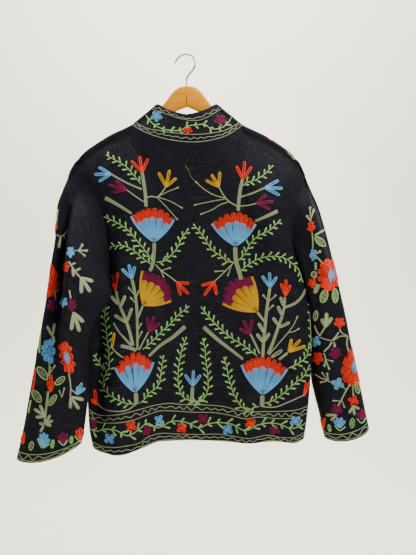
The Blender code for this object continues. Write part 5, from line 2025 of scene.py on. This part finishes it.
class SUZANI_OT_fronts(bpy.types.Operator):
    """Cut, hang and embroider both fronts"""
    bl_idname = "suzani.fronts"
    bl_label = "Fronts"

    def execute(self, context):
        for side, sign, armhole, seam, hem, inside in FRONTS:
            surface = front_surface(sign, armhole, seam, hem)
            cloth = fine_cloth(side + "_front_cloth", side + "_front", FRONT_GRID, FRONT_CUT,
                               fine_front(surface), inside)
            seen = FrontCloth(cloth)
            work = Needlework(lambda points: units(points) * (sign, 1))
            sew(work, motifs(FRONT_PLANT))
            lines = [below_edge(FRONT_EDGE, up) for up in FRONT_LINES]
            for line in lines:
                work.stem(line)
            work.wave(halfway(lines[0], lines[1]))
            work.wave(halfway(lines[2], lines[3]), high=1.1)
            work.vine(below_edge(FRONT_EDGE, FRONT_VINE))
            work.lift = BLOSSOM_LIFT
            for k, (x, thread) in enumerate(FRONT_BLOSSOMS):
                down = np.interp(x, *np.transpose(FRONT_EDGE)) - FRONT_VINE
                work.blossom((x, down - 5 + 10 * (k % 2)), 10.5, 10, thread)
            piece = embroidery(side + "_front_embroidery", work, seen.place)
        return {"FINISHED"}


class SUZANI_OT_bands(bpy.types.Operator):
    """Sew and embroider the long bands down both front edges"""
    bl_idname = "suzani.bands"
    bl_label = "Front Bands"

    def execute(self, context):
        for side, sign in (("left", -1), ("right", 1)):
            surface = band_surface(sign)
            cloth = fine_cloth(side + "_band_cloth", side + "_front_band", BAND_GRID, BAND_CUT,
                               lambda u, v: surface(u, at_stops(v, ROWS)),
                               (sign * 60, -40, -480))
            seen = FrontCloth(cloth)
            work = Needlework()

            def band_row(share):
                v = np.linspace(0, 1, LINE_POINTS)
                points = surface(np.full_like(v, share), v)
                return points[:, ::2] * (1, -1) / UNIT
            lines = [band_row(share) for share in BAND_LINES]
            for line in lines:
                work.stem(line)
            work.wave(halfway(lines[0], lines[1]), high=1.1, length=8)
            work.wave(halfway(lines[2], lines[3]), high=1.1, length=8)
            work.vine(band_row(0.5), gap=6, spur=4.4)
            work.lift = BLOSSOM_LIFT
            v, k = BAND_FIRST, 0
            while v < BAND_LAST:
                share = 0.5 + (BAND_ASIDE if k % 2 else -BAND_ASIDE)
                point = surface(np.array([share]), np.array([v]))[0]
                work.blossom((point[0] / UNIT, -point[2] / UNIT), 9.5, 9.5,
                             BAND_BLOSSOMS[k % 3], lobes=5, turn=90)
                v, k = v + BAND_EVERY, k + 1
            piece = embroidery(side + "_band_embroidery", work, seen.place)
        return {"FINISHED"}


def cluster(work, cloth, share, down, thread):
    """A flower on a forked twig with leaves and two small blossoms, anywhere round a sleeve."""
    size = np.interp(down * UNIT, cloth.length, cloth.round) / UNIT
    spot = np.array([share * size, down])
    keep, work.convert = work.convert, lambda points: units(points) + spot
    if thread == "orange":
        work.rosette((0, 0), 25, 29, 9, "orange", "blue")
    else:
        work.blossom((0, 0), 13, 13, thread, 5, 90)
    work.stem([(0, 13), (2, 20), (0, 28), (-5, 35)], 1.5)
    work.leaf_fan((3, 20), [(8, 28), (14, 23), (13, 15)])
    work.twig([(1, 24), (-6, 21), (-11, 15)])
    work.twig([(-1, 29), (-9, 27)])
    work.blossom((-16, 18), 9, 9, "plum" if thread == "blue" else "blue")
    work.blossom((15, 34), 9, 9, "orange" if thread == "plum" else "plum", 5, 90)
    work.twig([(-2, 31), (5, 33), (10, 34)])
    work.oval((-15, 34), 7.5, 13)
    work.convert = keep


class SUZANI_OT_sleeves(bpy.types.Operator):
    """Cut, hang and embroider both sleeves"""
    bl_idname = "suzani.sleeves"
    bl_label = "Sleeves"

    def execute(self, context):
        for body, sleeve in zip(FRONTS, SLEEVES):
            side, sign, front, seam, hem, _ = body
            table, folds, back, seam_u, creases, layout, inside = sleeve
            panel = front_surface(sign, front, seam, hem)
            surface = sleeve_surface(table, folds, back, front, back_surface, panel, seam_u)
            place = fine_sleeve(surface, creases, SLEEVE_CLOSING[side])
            cloth = fine_cloth(side + "_sleeve_cloth", side + "_sleeve", SLEEVE_GRID, SLEEVE_CUT,
                               place, inside, closed=True)
            rounded = RoundCloth(place, SLEEVE_MIDDLE)
            seen, work = Needlework(), Needlework()
            sew(seen, (motif for motif in motifs(layout) if motif[0] != "flower"))
            work.rows = rounded.unrolled(seen.rows)
            for kind, centre, *rest in motifs(layout):
                if kind == "flower":
                    work.rosette(rounded.on_cloth(centre), *rest)
            for share, down, thread in SLEEVE_REST:
                if down * UNIT < rounded.length[-1] - CLUSTER_ABOVE_CUFF:
                    cluster(work, rounded, share, down, thread)
            cuff_work(work, rounded)
            piece = embroidery(side + "_sleeve_embroidery", work, rounded.place)
        return {"FINISHED"}


def cuff_work(work, cloth):
    """Two lines with a long wave between them, and tulips and leaves on the hidden side."""
    low = cloth.length[-1] / UNIT
    size = cloth.round[-1] / UNIT
    lines = [[(s, low - up) for s in np.linspace(-0.5 * size, 0.5 * size, LINE_POINTS)]
             for up in (CUFF_BAND, 0.5 * CUFF_BAND + 0.8, 1.6)]
    work.row(bend(lines[0]), "grass", LINE_WIDE)
    work.row(bend(lines[2]), "olive", LINE_WIDE)
    work.wave(lines[1], high=1.8, length=CUFF_WAVE)
    row = low - CUFF_ROW
    for k, share in enumerate(np.arange(0.335, 0.7, 0.07)):
        at = share * size
        work.tulip((at, row + 2), [(at - 4.6, row - 7.6), (at, row - 10), (at + 4.6, row - 7.6)],
                   CUFF_TULIPS[k % 4], 4.4)
        work.oval((at + 0.035 * size, row - 2), 4.6, 10, heart="grass")


class SUZANI_PT_panel(bpy.types.Panel):
    """Sizes, colours and steps of the suzani jacket"""
    bl_label = "Suzani Jacket"
    bl_idname = "SUZANI_PT_panel"
    bl_space_type = "VIEW_3D"
    bl_region_type = "UI"
    bl_category = "Suzani"

    def draw(self, context):
        layout = self.layout
        for name, title, _ in SETTINGS:
            group = getattr(context.scene, name)
            box = layout.box()
            box.label(text=title)
            for setting in group.__annotations__:
                box.prop(group, setting)
        for step in STEPS:
            layout.operator(step.bl_idname)


STEPS = (
    SUZANI_OT_stage, SUZANI_OT_hanger, SUZANI_OT_back, SUZANI_OT_collar, SUZANI_OT_fronts,
    SUZANI_OT_bands, SUZANI_OT_sleeves)
SETTINGS = (
    ("suzani_cloth", "Cloth", SuzaniCloth), ("suzani_threads", "Threads", SuzaniThreads),
    ("suzani_hanger", "Hanger", SuzaniHanger), ("suzani_stage", "Studio", SuzaniStage))
CLASSES = tuple(group for _, _, group in SETTINGS) + STEPS + (SUZANI_PT_panel,)


def register():
    for item in CLASSES:
        bpy.utils.register_class(item)
    for name, _, group in SETTINGS:
        setattr(bpy.types.Scene, name, PointerProperty(type=group))


def unregister():
    for name, _, _ in SETTINGS:
        delattr(bpy.types.Scene, name)
    for item in reversed(CLASSES):
        bpy.utils.unregister_class(item)


def main():
    register()
    bpy.ops.suzani.stage()
    bpy.ops.suzani.hanger()
    bpy.ops.suzani.back()
    bpy.ops.suzani.collar()
    bpy.ops.suzani.fronts()
    bpy.ops.suzani.bands()
    bpy.ops.suzani.sleeves()


if __name__ == "__main__":
    main()
